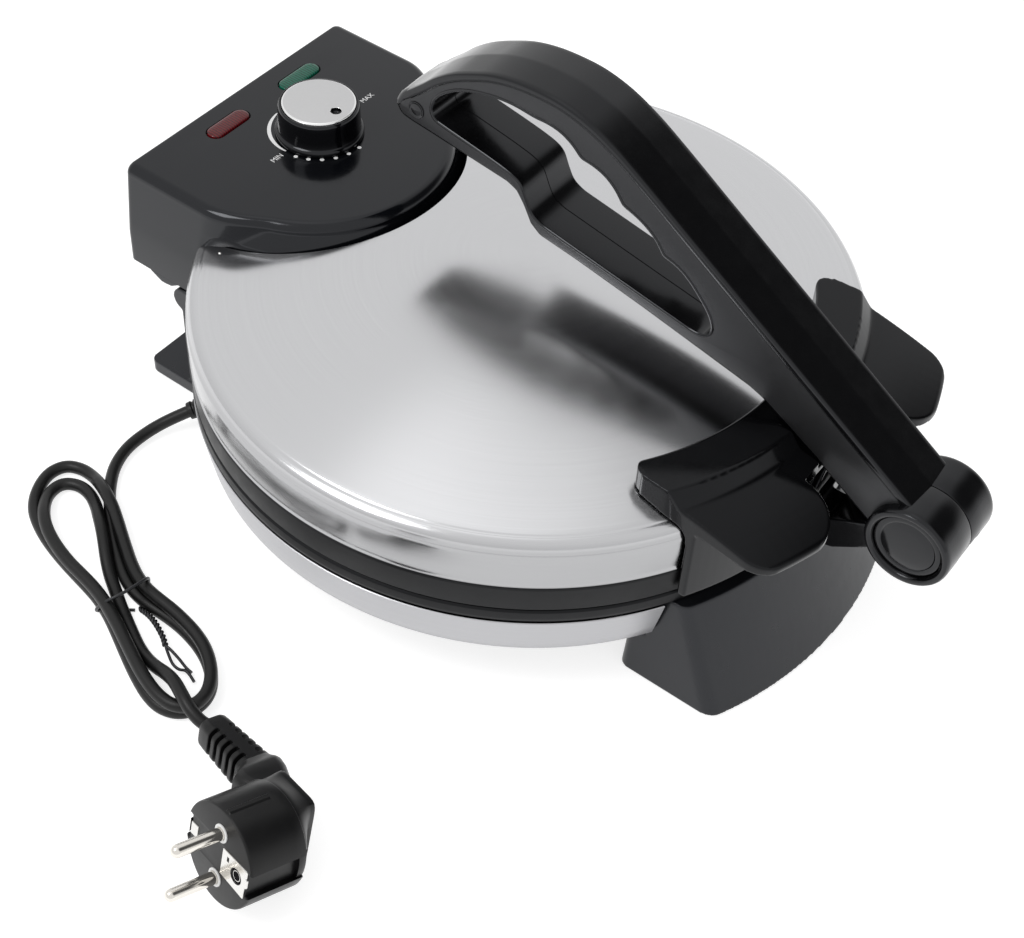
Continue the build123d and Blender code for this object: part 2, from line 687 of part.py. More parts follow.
# ---------------------------------------------------------------- lever
TOP_PTS = [(68.6, 190.4), (66.6, 193.4), (61.2, 198.2), (54.5, 204.6), (47.5, 211.2), (38.0, 218.0), (27.0, 223.6),
           (17.0, 227.6), (5.0, 230.2), (-8.0, 231.0), (-20.0, 230.2), (-34.0, 226.6), (-48.0, 220.2), (-62.0, 212.0),
           (-84.0, 198.0)]
LOW_PTS = [(68.5, 187.6), (67.1, 184.8), (64.3, 182.9), (59.0, 181.8), (48.0, 180.8), (6.0, 175.6), (1.0, 173.4), (-3.0, 168.0), (-7.6, 159.6), (-13.0, 155.6),
           (-33.0, 152.6), (-69.0, 145.9), (-101.0, 139.2), (-126.0, 133.9), (-132.4, 131.6), (-163.2, 114.0),
           (-170.3, 109.2), (-191.1, 96.0)]
OPEN_TOP = [(45.8, 190.2), (47.6, 193.4), (46.4, 199.0), (41.5, 205.2), (33.5, 210.6), (22.0, 214.9), (7.0, 217.3),
            (-7.4, 216.4), (-13.0, 216.6), (-20.0, 215.4), (-26.0, 212.2), (-31.0, 207.6), (-37.0, 207.0),
            (-43.5, 204.8), (-49.0, 200.6), (-53.6, 194.6), (-60.0, 192.6), (-66.5, 189.4), (-72.0, 184.8),
            (-75.9, 179.4), (-82.0, 178.0), (-88.0, 174.8), (-95.0, 168.4), (-101.5, 160.6), (-103.6, 154.4),
            (-101.2, 150.0), (-95.6, 148.8)]
OPEN_LOW = [(-69.0, 153.4), (-14.6, 163.0), (-9.2, 166.0), (-5.6, 172.2), (-2.2, 179.0), (2.0, 181.6)]


def lever_outline(o=0.0):
    with BuildSketch() as s:
        with BuildLine():
            # from the barrel, up the arm, over the hump, round the nose and back under
            a = (PIV_Y + 4.0, PIV_Z + 19.4)
            Line(a, TOP_PTS[-1])
            Spline(*TOP_PTS[::-1], tangents=((0.834, 0.552), (0.35, -0.94)))
            Polyline(TOP_PTS[0], *LOW_PTS, (PIV_Y + 12.0, PIV_Z - 12.0), a)
        make_face()
    return s.sketch


def opening_outline():
    with BuildSketch() as s:
        with BuildLine():
            Polyline(*OPEN_TOP, *OPEN_LOW, close=True)
        make_face()
    return s.sketch


LEV_OUT = lever_outline()
LEV_OPEN = opening_outline()

for nm, sx in (("lever_left", -1), ("lever_right", 1)):
    with BuildPart() as half:
        # arm
        extrude((side(0) * LEV_OUT).faces()[0], amount=ARM_W, dir=(sx, 0, 0))
        top_edges = [e for e in half.edges() if abs(e.center().X - sx * ARM_W) < 0.01
                     and e.position_at(0.5).Z - PIV_Z > 0.56 * (e.position_at(0.5).Y - YC - PIV_Y) + 8.0]
        fillet(top_edges, 2.6)
        # barrel half
        with BuildSketch(side(0)):
            with Locations((PIV_Y, PIV_Z)):
                Circle(BAR_R)
        extrude(amount=sx * BAR_W)
        end_edges = [e for e in half.edges().filter_by(GeomType.CIRCLE) if abs(e.center().X - sx * BAR_W) < 0.01
                     and abs(e.radius - BAR_R) < 0.01]
        fillet(end_edges, 2.2)
        # finger opening
        extrude((side(-sx) * LEV_OPEN).faces()[0], amount=ARM_W + 3, dir=(sx, 0, 0), mode=Mode.SUBTRACT)
        # hollow barrel around the yoke's eye
        with BuildSketch(side(0)):
            with Locations((PIV_Y, PIV_Z)):
                Circle(15.6)
        extrude(amount=sx * 10.0, mode=Mode.SUBTRACT)
        # slot through which the yoke enters, wide enough for the lever's swing
        with BuildSketch(side(0)):
            with BuildLine():
                c = (PIV_Y, PIV_Z)
                pts = [c]
                for k in range(0, 13):
                    an = radians(-176 + k * (176.0 / 12.0))
                    pts.append((PIV_Y + 31 * cos(an), PIV_Z + 31 * sin(an)))
                Polyline(*pts, close=True)
            make_face()
        extrude(amount=sx * 10.0, mode=Mode.SUBTRACT)
        # pivot bore
        with BuildSketch(side(0)):
            with Locations((PIV_Y, PIV_Z)):
                Circle(4.06)
        extrude(amount=sx * 18.0, mode=Mode.SUBTRACT)
        # seat of the end cap
        with BuildSketch(side(sx * (BAR_W + 0.1))):
            with Locations((PIV_Y, PIV_Z)):
                Circle(15.8)
        extrude(amount=-sx * 3.9, mode=Mode.SUBTRACT)
        # screw seat at the nose
        with BuildSketch(side(sx * (ARM_W + 0.1))):
            with Locations((56.6, 190.0)):
                Circle(4.4)
        extrude(amount=-sx * 1.6, mode=Mode.SUBTRACT)
    half.part.label = nm
    export_step(half.part, "parts/" + nm + ".step")

for nm, sx in (("barrel_cap_left", -1), ("barrel_cap_right", 1)):
    with BuildPart() as cap:
        with BuildSketch(side(sx * (BAR_W - 3.8))):
            with Locations((PIV_Y, PIV_Z)):
                Circle(15.7)
        extrude(amount=sx * 2.6)
        fillet([e for e in cap.edges() if abs(e.center().X) > BAR_W - 1.5], 0.8)
    cap.part.label = nm
    export_step(cap.part, "parts/" + nm + ".step")

for nm, sx in (("nose_cap_left", -1), ("nose_cap_right", 1)):
    with BuildPart() as cap:
        with BuildSketch(side(sx * (ARM_W - 1.5))):
            with Locations((56.6, 190.0)):
                Circle(4.3)
        extrude(amount=sx * 1.9)
        fillet([e for e in cap.edges() if abs(e.center().X) > ARM_W], 0.5)
    cap.part.label = nm
    export_step(cap.part, "parts/" + nm + ".step")

# ---------------------------------------------------------------- cord, hank, tie, plug (coordinates in the final frame)
with BuildPart() as cord_gland:
    g0 = GL_END - D1 * 23.0
    with BuildSketch(Plane(origin=g0, z_dir=D1)):
        Circle(6.6)
    with BuildSketch(Plane(origin=GL_END, z_dir=D1)):
        Circle(4.4)
    loft()
    for k in range(4):
        g = GL_END - D1 * (4.0 + 3.6 * k)
        with BuildSketch(Plane(origin=g, z_dir=D1)):
            Circle(8.0)
            Circle(4.0 + 0.30 * k, mode=Mode.SUBTRACT)
        extrude(amount=1.5, mode=Mode.SUBTRACT)
cord_gland.part.label = "cord_gland"
export_step(cord_gland.part, "parts/cord_gland.step")

with BuildPart() as cord:
    with BuildLine() as path1:
        FilletPolyline(*ROUTE1, radius=RAD1)
    with BuildSketch(Plane(origin=ROUTE1[0], z_dir=D1)):
        Circle(CORD_R)
    sweep()
    L_TUBE1 = path1.wires()[0].length
cord.part.label = "cord"
export_step(cord.part, "parts/cord.step")
print("tube 1 length", round(L_TUBE1, 1), "volume / section", round(cord.part.volume / (3.14159265 * CORD_R ** 2), 1))

HANK_OUT = [(-156.3, 188.1), (-151.9, 175.3), (-154.1, 163.5), (-159.6, 149.8), (-170.2, 132.6), (-185.4, 110.4),
            (-188.6, 98.2), (-189.3, 82.3), (-190.9, 65.0), (-197.3, 48.6), (-205.5, 36.7), (-214.6, 30.7),
            (-226.6, 28.5), (-232.8, 34.6), (-236.6, 46.0), (-234.6, 58.9), (-228.1, 75.2), (-218.9, 93.2),
            (-212.1, 105.8), (-207.3, 122.2), (-204.9, 141.1), (-199.6, 158.7), (-190.7, 175.6), (-181.5, 184.6),
            (-169.9, 189.9)]
HANK_H1 = [(-170.0, 180.8), (-165.1, 176.9), (-165.4, 167.0), (-171.7, 152.4), (-182.4, 137.7), (-191.5, 126.5),
           (-191.1, 136.7), (-189.7, 151.5), (-184.4, 167.9), (-178.3, 177.6)]
HANK_H2 = [(-197.6, 100.9), (-198.6, 89.1), (-201.0, 71.1), (-205.5, 54.3), (-211.6, 42.5), (-217.0, 46.6),
           (-220.1, 52.2), (-213.4, 68.5), (-206.0, 86.3)]
with BuildPart() as cord_hank:
    with BuildSketch(Plane.XY.offset(1.2)):
        with BuildLine():
            Polyline(*HANK_OUT, close=True)
        make_face()
        with BuildLine():
            Polyline(*HANK_H1, close=True)
        make_face(mode=Mode.SUBTRACT)
        with BuildLine():
            Polyline(*HANK_H2, close=True)
        make_face(mode=Mode.SUBTRACT)
    extrude(amount=11.6)
    fillet(cord_hank.edges().group_by(Axis.Z)[-1], 1.6)
cord_hank.part.label = "cord_hank"
export_step(cord_hank.part, "parts/cord_hank.step")

# twist tie round the waist of the hank
TIE_C = Vector(-197.3, 107.2, 7.0)
TIE_X = Vector(-25.8, 3.5, 0).normalized()
with BuildPart() as twist_tie:
    with BuildSketch(Plane(origin=TIE_C, x_dir=TIE_X, z_dir=TIE_X.cross(Vector(0, 0, 1)))):
        RectangleRounded(29.4, 13.8, 3.0)
        RectangleRounded(27.8, 12.2, 2.2, mode=Mode.SUBTRACT)
    extrude(amount=1.1, both=True)
twist_tie.part.label = "twist_tie"
export_step(twist_tie.part, "parts/twist_tie.step")
twist_tie.part.label = "twist_tie"

PS = 1.24                                       # the plug's size against its drawing below
F = Vector(-282.6, -33.7, 31.6)                 # centre of the plug's face
DP = Vector(-0.922, 0.251, 0.296).normalized()  # the way the pins point
EP0 = Vector(0.22, 0.966, -0.134)
EP = (EP0 - DP * EP0.dot(DP)).normalized()      # from the pins' middle towards the side the cord leaves
SP = DP.cross(EP)
DN = EP                                         # the way the cord leaves, across the pins
SN = SP


def plug_plane(z=0.0, x=0.0, y=0.0):
    return Plane(origin=F + (DP * z + EP * x + SP * y) * PS, x_dir=EP, z_dir=DP)


N0 = F - DP * 40.8 + EP * 10.2
N1 = N0 + DN * 25.0
N2 = N0 + DN * 57.8
with BuildPart() as plug_body:
    # front insert
    with BuildSketch(plug_plane(0)):
        Circle(18.6 * PS)
        with Locations((19.6 * PS, 0), (-19.6 * PS, 0)):
            Rectangle(7.0 * PS, 9.0 * PS, mode=Mode.SUBTRACT)
    extrude(amount=-22 * PS)
    # rear part with the grip flange
    with BuildSketch(plug_plane(-22)):
        Circle(18.6 * PS)
    extrude(amount=-2.6 * PS)
    with BuildSketch(plug_plane(-24.0)):
        RectangleRounded(31.0, 32.0, 6.0)
    with BuildSketch(plug_plane(-30.9, 2.6)):
        RectangleRounded(25.6, 37.0, 4.0)
    loft()
    # neck towards the cord, deepest where it leaves the body
    with BuildSketch(Plane(origin=N0 - DN * 12.0 + DP * 1.0, x_dir=SN, z_dir=DN)):
        RectangleRounded(22, 13, 4)
    with BuildSketch(Plane(origin=N0 + DN * 14.0 + DP * 3.0, x_dir=SN, z_dir=DN)):
        RectangleRounded(26, 27.6, 5.0)
    loft()
    with BuildSketch(Plane(origin=N0 + DN * 14.0 + DP * 3.0, x_dir=SN, z_dir=DN)):
        RectangleRounded(26, 27.6, 5.0)
    with BuildSketch(Plane(origin=N1, x_dir=SN, z_dir=DN)):
        RectangleRounded(18.5, 17.5, 5.0)
    loft()
plug_body.part.label = "plug_body"
export_step(plug_body.part, "parts/plug_body.step")

with BuildPart() as plug_relief:
    with BuildSketch(Plane(origin=N1, x_dir=SN, z_dir=DN)):
        Circle(8.2)
    with BuildSketch(Plane(origin=N2, x_dir=SN, z_dir=DN)):
        Circle(5.4)
    loft()
    for k in range(5):
        with BuildSketch(Plane(origin=N1 + DN * (2.6 + 4.9 * k), x_dir=SN, z_dir=DN)):
            Circle(12.0)
            Circle(6.4 - 0.32 * k, mode=Mode.SUBTRACT)
        extrude(amount=2.3, mode=Mode.SUBTRACT)
plug_relief.part.label = "plug_relief"
export_step(plug_relief.part, "parts/plug_relief.step")

for nm, sy in (("plug_pin_1", 1), ("plug_pin_2", -1)):
    with BuildPart() as pin:
        with BuildSketch(plug_plane(0, 0, sy * 9.5)):
            Circle(2.25 * PS)
        extrude(amount=19 * PS)
        fillet(pin.edges().filter_by(GeomType.CIRCLE).sort_by(Axis(F, DP))[-1], 2.0)
    pin.part.label = nm
    export_step(pin.part, "parts/" + nm + ".step")

for nm, sx in (("plug_earth_1", 1), ("plug_earth_2", -1)):
    with BuildPart() as clip:
        with BuildSketch(Plane(origin=F + (EP * (sx * 16.1) + DP * -0.4) * PS, x_dir=EP, z_dir=DP)):
            with Locations((sx * 0.5 * PS, 0)):
                Rectangle(1.0 * PS, 7.6 * PS)
        extrude(amount=-7.2)
    clip.part.label = nm
    export_step(clip.part, "parts/" + nm + ".step")

with BuildPart() as cord_end:
    ROUTE2 = [(N2.X, N2.Y, N2.Z), (N2.X + DN.X * 5.5, N2.Y + DN.Y * 5.5, N2.Z + DN.Z * 5.5),
              (N2.X + DN.X * 5.5 + 4.6, N2.Y + DN.Y * 5.5 + 7.6, N2.Z + DN.Z * 5.5 - 0.6)]
    D2, L2 = unit(ROUTE2[0], ROUTE2[1])
    with BuildLine() as path2:
        FilletPolyline(*ROUTE2, radius=fillet_radii(ROUTE2))
    with BuildSketch(Plane(origin=ROUTE2[0], z_dir=D2)):
        Circle(CORD_R)
    sweep()
cord_end.part.label = "cord_end"
export_step(cord_end.part, "parts/cord_end.step")
print("relief end", N2, "tube 2 end", ROUTE2[-1])
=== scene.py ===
import bpy, bmesh
from math import sin, cos, tan, radians, degrees, atan2, sqrt, pi, acos, hypot
from mathutils import Vector, Matrix
from mathutils.geometry import tessellate_polygon


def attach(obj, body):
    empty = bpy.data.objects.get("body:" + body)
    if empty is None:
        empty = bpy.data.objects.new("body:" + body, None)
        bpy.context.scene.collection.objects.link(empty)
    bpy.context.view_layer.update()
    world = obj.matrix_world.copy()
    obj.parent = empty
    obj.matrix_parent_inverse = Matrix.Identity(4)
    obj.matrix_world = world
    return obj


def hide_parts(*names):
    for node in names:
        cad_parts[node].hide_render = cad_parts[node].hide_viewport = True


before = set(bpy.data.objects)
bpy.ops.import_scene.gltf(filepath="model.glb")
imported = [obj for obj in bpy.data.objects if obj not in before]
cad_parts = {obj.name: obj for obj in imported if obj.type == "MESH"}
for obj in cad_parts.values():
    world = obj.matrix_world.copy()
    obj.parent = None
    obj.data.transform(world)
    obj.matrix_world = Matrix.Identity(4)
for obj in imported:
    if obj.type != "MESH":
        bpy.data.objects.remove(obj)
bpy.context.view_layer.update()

YC = 25.0


def W(p):
    """Millimetres about the lid's axis to metres in the part's frame."""
    return (p[0] * 0.001, (p[1] + YC) * 0.001, p[2] * 0.001)


# ------------------------------------------------------------------ camera
cam_d = bpy.data.cameras.new("cam")
cam = bpy.data.objects.new("cam", cam_d)
bpy.context.scene.collection.objects.link(cam)
cam_d.sensor_fit = "HORIZONTAL"
cam_d.sensor_width = 36.0
cam_d.lens = 1874.25 / 1024.0 * 36.0
cam_d.clip_start = 0.01
cam_d.clip_end = 50.0
AZ, EL, RO = radians(-56.12), radians(47.78), radians(4.11)
back = Vector((sin(AZ) * cos(EL), -cos(AZ) * cos(EL), sin(EL)))
fwd = -back
right = fwd.cross(Vector((0, 0, 1))).normalized()
upv = right.cross(fwd)
RX = right * cos(RO) + upv * sin(RO)
UX = upv * cos(RO) - right * sin(RO)
cam.matrix_world = Matrix(((RX.x, UX.x, back.x, -0.5425), (RX.y, UX.y, back.y, -0.3365),
                           (RX.z, UX.z, back.z, 0.6981), (0, 0, 0, 1)))
bpy.context.scene.camera = cam

# ------------------------------------------------------------------ node helpers


class Mat:
    """A small wrapper that makes node materials short to write."""

    def __init__(self, name):
        self.m = bpy.data.materials.new(name)
        self.m.use_nodes = True
        self.nt = self.m.node_tree
        self.nt.nodes.clear()
        self.out = self.nt.nodes.new("ShaderNodeOutputMaterial")
        self.bs = self.nt.nodes.new("ShaderNodeBsdfPrincipled")
        self.link(self.bs, "BSDF", self.out, "Surface")
        self.tc = self.nt.nodes.new("ShaderNodeTexCoord")

    def node(self, kind, **kw):
        n = self.nt.nodes.new(kind)
        for k, v in kw.items():
            setattr(n, k, v)
        return n

    def link(self, a, ao, b, bi):
        self.nt.links.new(a.outputs[ao], b.inputs[bi])

    def set(self, **kw):
        for k, v in kw.items():
            self.bs.inputs[k.replace("_", " ")].default_value = v

    def noise(self, scale, detail=3.0, rough=0.55, vec=None, dim="3D", distortion=0.0):
        n = self.node("ShaderNodeTexNoise", noise_dimensions=dim)
        n.inputs["Scale"].default_value = scale
        n.inputs["Detail"].default_value = detail
        n.inputs["Roughness"].default_value = rough
        n.inputs["Distortion"].default_value = distortion
        if vec is None:
            self.link(self.tc, "Object", n, "Vector")
        else:
            self.link(vec[0], vec[1], n, "Vector")
        return n

    def ramp(self, src, out, lo, hi, a, b):
        """Map lo..hi of a value to a..b."""
        n = self.node("ShaderNodeMapRange")
        n.inputs["From Min"].default_value = lo
        n.inputs["From Max"].default_value = hi
        n.inputs["To Min"].default_value = a
        n.inputs["To Max"].default_value = b
        self.link(src, out, n, "Value")
        return n

    def mixc(self, fac, fo, ca, cb):
        n = self.node("ShaderNodeMix", data_type="RGBA")
        n.inputs[6].default_value = (*ca, 1)
        n.inputs[7].default_value = (*cb, 1)
        self.nt.links.new(fac.outputs[fo], n.inputs[0])
        return n

    def bump(self, src, out, strength, dist):
        n = self.node("ShaderNodeBump")
        n.inputs["Strength"].default_value = strength
        n.inputs["Distance"].default_value = dist
        self.link(src, out, n, "Height")
        self.link(n, "Normal", self.bs, "Normal")
        return n


def srgb(r, g, b):
    out = []
    for c in (r, g, b):
        c = c / 255.0
        out.append(c / 12.92 if c <= 0.04045 else ((c + 0.055) / 1.055) ** 2.4)
    return tuple(out)


def plastic(name, col, rough, var=0.06, grain=0.0, grain_scale=9000.0, peel=0.0, spec=0.5, coat=0.0, dust=0.0,
            tint=(0.93, 0.95, 1.0)):
    """Moulded plastic: faint mottling, uneven gloss, moulded grain or a slight orange peel, and a little dust."""
    m = Mat(name)
    n1 = m.noise(38.0, 4.0)
    lo = tuple(c * (1 - 2 * var) for c in col)
    hi = tuple(min(1, c * (1 + 2 * var)) for c in col)
    c1 = m.mixc(n1, "Fac", lo, hi)
    if dust:
        d1 = m.noise(5200.0, 2.0, 0.6)
        d2 = m.ramp(d1, "Fac", 0.735, 0.80, 0.0, dust)
        mx = m.node("ShaderNodeMix", data_type="RGBA")
        m.nt.links.new(d2.outputs[0], mx.inputs[0])
        m.nt.links.new(c1.outputs[2], mx.inputs[6])
        mx.inputs[7].default_value = (0.35, 0.35, 0.34, 1)
        c1 = mx
    m.nt.links.new(c1.outputs[2], m.bs.inputs["Base Color"])
    n2 = m.noise(120.0, 5.0, 0.65)
    r = m.ramp(n2, "Fac", 0.3, 0.7, max(0.02, rough - 0.035), rough + 0.045)
    m.link(r, "Result", m.bs, "Roughness")
    m.set(Specular_IOR_Level=spec, Coat_Weight=coat, Coat_Roughness=0.06)
    m.bs.inputs["Specular Tint"].default_value = (*tint, 1)
    if grain:
        n3 = m.noise(grain_scale, 2.0, 0.5)
        m.bump(n3, "Fac", grain, 0.00005)
    elif peel:
        n3 = m.noise(420.0, 2.0, 0.5)
        m.bump(n3, "Fac", peel, 0.0001)
    return m.m


def polar_steel(name, col, rough, aniso, streak=0.05, base_axis=(0.0, 0.025), wall_shade=None):
    """Steel brushed in circles about the lid's axis. The last argument, if given, scales the colour down below the
    shoulder: painted shade on the side wall.
    """
    m = Mat(name)
    sub = m.node("ShaderNodeVectorMath", operation="SUBTRACT")
    m.link(m.tc, "Object", sub, 0)
    sub.inputs[1].default_value = (base_axis[0], base_axis[1], 0)
    sep = m.node("ShaderNodeSeparateXYZ")
    m.link(sub, "Vector", sep, "Vector")
    # radius and angle
    flat = m.node("ShaderNodeCombineXYZ")
    m.link(sep, "X", flat, "X")
    m.link(sep, "Y", flat, "Y")
    ln = m.node("ShaderNodeVectorMath", operation="LENGTH")
    m.link(flat, "Vector", ln, 0)
    ang = m.node("ShaderNodeMath", operation="ARCTAN2")
    m.link(sep, "Y", ang, 0)
    m.link(sep, "X", ang, 1)
    rz = m.node("ShaderNodeMath", operation="MULTIPLY_ADD")   # radius with height, so the side wall is brushed too
    m.link(sep, "Z", rz, 0)
    rz.inputs[1].default_value = -1.0
    m.link(ln, "Value", rz, 2)
    cs = m.node("ShaderNodeMath", operation="COSINE")
    m.link(ang, "Value", cs, 0)
    sn = m.node("ShaderNodeMath", operation="SINE")
    m.link(ang, "Value", sn, 0)
    pol = m.node("ShaderNodeCombineXYZ")
    m.link(cs, "Value", pol, "X")
    m.link(sn, "Value", pol, "Y")
    big = m.node("ShaderNodeMath", operation="MULTIPLY")
    m.link(rz, "Value", big, 0)
    big.inputs[1].default_value = 2600.0
    m.link(big, "Value", pol, "Z")
    fine = m.noise(1.0, 3.0, 0.62, vec=(pol, "Vector"))
    mid = m.node("ShaderNodeMath", operation="MULTIPLY")
    m.link(rz, "Value", mid, 0)
    mid.inputs[1].default_value = 420.0
    pol2 = m.node("ShaderNodeCombineXYZ")
    m.link(cs, "Value", pol2, "X")
    m.link(sn, "Value", pol2, "Y")
    m.link(mid, "Value", pol2, "Z")
    coarse = m.noise(1.0, 2.0, 0.5, vec=(pol2, "Vector"))
    smudge = m.noise(9.0, 3.0, 0.55)
    # colour: fine rings lighter and darker
    lo = tuple(c * (1 - streak) for c in col)
    hi = tuple(min(1, c * (1 + streak)) for c in col)
    c1 = m.mixc(fine, "Fac", lo, hi)
    # painted shade: below the shoulder the same steel colour is scaled darker, so the side wall reads shaded
    if wall_shade:
        wall_shade_ramp = m.ramp(sep, "Z", 0.1035, 0.1082, wall_shade, 1.0)
        mx = m.node("ShaderNodeVectorMath", operation="SCALE")
        m.nt.links.new(c1.outputs[2], mx.inputs[0])
        m.link(wall_shade_ramp, "Result", mx, "Scale")
        m.nt.links.new(mx.outputs[0], m.bs.inputs["Base Color"])
    else:
        m.nt.links.new(c1.outputs[2], m.bs.inputs["Base Color"])
    add = m.node("ShaderNodeMath", operation="MULTIPLY_ADD")
    m.link(coarse, "Fac", add, 0)
    add.inputs[1].default_value = 0.35
    m.link(smudge, "Fac", add, 2)
    r = m.ramp(add, "Value", 0.35, 1.0, rough - 0.03, rough + 0.04)
    m.link(r, "Result", m.bs, "Roughness")
    m.set(Metallic=1.0, Anisotropic=aniso)
    # tangent: outwards from the axis, so the highlights fan along the radius
    tan_ = m.node("ShaderNodeCombineXYZ")
    m.link(sep, "X", tan_, "X")
    m.link(sep, "Y", tan_, "Y")
    nrm = m.node("ShaderNodeVectorMath", operation="NORMALIZE")
    m.link(tan_, "Vector", nrm, 0)
    vt = m.node("ShaderNodeVectorTransform", vector_type="VECTOR", convert_from="OBJECT", convert_to="WORLD")
    m.link(nrm, "Vector", vt, "Vector")
    m.link(vt, "Vector", m.bs, "Tangent")
    m.bump(fine, "Fac", 0.12, 0.00002)
    return m.m


def metal(name, col, rough, scale=700.0, var=0.05, bump=0.06):
    m = Mat(name)
    n1 = m.noise(scale, 3.0)
    c1 = m.mixc(n1, "Fac", tuple(c * (1 - var) for c in col), tuple(min(1, c * (1 + var)) for c in col))
    m.nt.links.new(c1.outputs[2], m.bs.inputs["Base Color"])
    n2 = m.noise(90.0, 4.0)
    r = m.ramp(n2, "Fac", 0.3, 0.7, max(0.03, rough - 0.05), rough + 0.06)
    m.link(r, "Result", m.bs, "Roughness")
    m.set(Metallic=1.0)
    m.bump(n1, "Fac", bump, 0.00002)
    return m.m


def lens(name, col, deep):
    """Tinted transparent plastic with moulded prism ribs inside, and a faint painted glow in its own colour."""
    m = Mat(name)
    wave = m.node("ShaderNodeTexWave", wave_type="BANDS", bands_direction="X", wave_profile="TRI")
    wave.inputs["Scale"].default_value = 210.0
    wave.inputs["Distortion"].default_value = 2.4
    wave.inputs["Detail"].default_value = 3.0
    wave.inputs["Detail Scale"].default_value = 3.0
    m.link(m.tc, "Object", wave, "Vector")
    n1 = m.noise(260.0, 3.0)
    c1 = m.mixc(wave, "Fac", deep, col)
    m.nt.links.new(c1.outputs[2], m.bs.inputs["Base Color"])
    r = m.ramp(n1, "Fac", 0.3, 0.7, 0.10, 0.18)
    m.link(r, "Result", m.bs, "Roughness")
    m.set(Specular_IOR_Level=0.35, Coat_Weight=0.15, Coat_Roughness=0.04)
    # painted glow: a faint emission in the lens colour stands in for light passing through the plastic
    m.bs.inputs["Emission Color"].default_value = (*col, 1)
    m.bs.inputs["Emission Strength"].default_value = 0.05
    m.bump(wave, "Fac", 0.16, 0.0002)
    return m.m


# ------------------------------------------------------------------ materials
# the lid's side wall gets its steel colour scaled to 0.66: painted shade
M_LID = polar_steel("brushed_lid", (0.62, 0.622, 0.635), 0.20, 0.62, streak=0.05, wall_shade=0.66)
M_SHELL = polar_steel("brushed_shell", (0.47, 0.47, 0.485), 0.34, 0.5)
M_BRIGHT = metal("bright_steel", (0.72, 0.71, 0.69), 0.16)
M_NICKEL = metal("nickel_pins", (0.78, 0.75, 0.70), 0.13, 500.0)
M_ELEMENT = metal("element_sheath", (0.30, 0.29, 0.28), 0.42)
M_INNER = metal("inner_sheet", (0.60, 0.60, 0.60), 0.38)
M_PLATE = plastic("plate_coating", srgb(38, 38, 40), 0.42, grain=0.25, grain_scale=5200)
M_PAN = plastic("pan_paint", srgb(34, 34, 36), 0.45, grain=0.3, grain_scale=3000)
M_RIM = plastic("rim_plastic", srgb(11, 11, 12), 0.38, grain=0.12, grain_scale=6000, dust=0.12, spec=0.20)
M_FOOT = plastic("foot_plastic", srgb(20, 21, 24), 0.30, grain=0.08, grain_scale=7000, dust=0.12, spec=0.4)
M_BOX = plastic("box_plastic", srgb(8, 9, 12), 0.13, peel=0.03, dust=0.12, spec=0.42)
M_BRACKET = plastic("bracket_plastic", srgb(5, 5, 6), 0.12, peel=0.03, dust=0.12, spec=0.26)
M_LEVER = plastic("lever_plastic", srgb(7, 7, 8), 0.17, grain=0.04, grain_scale=5200, dust=0.12, spec=0.40)
M_WEB = plastic("lever_web", srgb(30, 30, 31), 0.36, grain=0.14, grain_scale=7000, dust=0.12, spec=0.45)
M_CAP = plastic("cap_plastic", srgb(7, 7, 8), 0.13, peel=0.03, spec=0.4)
M_KNOB = plastic("knob_plastic", srgb(6, 6, 8), 0.10, peel=0.03, spec=0.4)
M_CORD = plastic("cord_rubber", srgb(12, 12, 12), 0.40, grain=0.2, grain_scale=2600, dust=0.2, spec=0.34, tint=(1.0, 1.0, 1.0))
M_PLUG = plastic("plug_plastic", srgb(10, 10, 11), 0.36, grain=0.2, grain_scale=3200, dust=0.25, spec=0.32, tint=(1.0, 1.0, 1.0))
M_PAD = plastic("pad_rubber", srgb(28, 28, 28), 0.62, grain=0.4, grain_scale=2400)
M_TIE = plastic("tie_plastic", srgb(18, 18, 19), 0.35, grain=0.2, grain_scale=2600)
M_CER = plastic("inner_ceramic", srgb(190, 184, 172), 0.5, grain=0.3, grain_scale=2600)
M_RED = lens("lens_red", srgb(96, 10, 17), srgb(42, 3, 7))
M_GREEN = lens("lens_green", srgb(8, 96, 74), srgb(3, 42, 34))
M_DISC = metal("knob_disc_finish", (0.60, 0.60, 0.605), 0.34, 900.0, 0.03, 0.05)
M_CHAMFER = metal("knob_disc_edge", (0.86, 0.86, 0.86), 0.16, 900.0, 0.02, 0.02)
M_PRINT = plastic("print_white", srgb(225, 225, 225), 0.45, grain=0.15, grain_scale=3000)

# ------------------------------------------------------------------ mesh helpers


def build(name, verts, faces, body, mats, replaces=(), sharp=32.0, mat_ids=None, merge=1e-6, conv=W):
    me = bpy.data.meshes.new(name)
    me.from_pydata([conv(v) for v in verts], [], faces)
    if not isinstance(mats, (list, tuple)):
        mats = [mats]
    for m in mats:
        me.materials.append(m)
    if mat_ids:
        for p, i in zip(me.polygons, mat_ids):
            p.material_index = i
    bm = bmesh.new()
    bm.from_mesh(me)
    if merge:
        bmesh.ops.remove_doubles(bm, verts=bm.verts, dist=merge)
    bmesh.ops.recalc_face_normals(bm, faces=bm.faces)
    bm.to_mesh(me)
    bm.free()
    for p in me.polygons:
        p.use_smooth = True
    me.set_sharp_from_angle(angle=radians(sharp))
    o = bpy.data.objects.new(name, me)
    bpy.context.scene.collection.objects.link(o)
    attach(o, body)
    if replaces:
        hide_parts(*replaces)
    return o


def grid(rows, closed_rows=False, closed_cols=False, cap_ends=False):
    """rows: list of equally long point lists. Returns verts, faces."""
    n, k = len(rows), len(rows[0])
    verts = [p for r in rows for p in r]
    faces = []
    for i in range(n if closed_rows else n - 1):
        a, b = i * k, ((i + 1) % n) * k
        for j in range(k if closed_cols else k - 1):
            j2 = (j + 1) % k
            faces.append((a + j, a + j2, b + j2, b + j))
    if cap_ends:
        faces.append(tuple(range(k)))
        faces.append(tuple((n - 1) * k + j for j in range(k))[::-1])
    return verts, faces


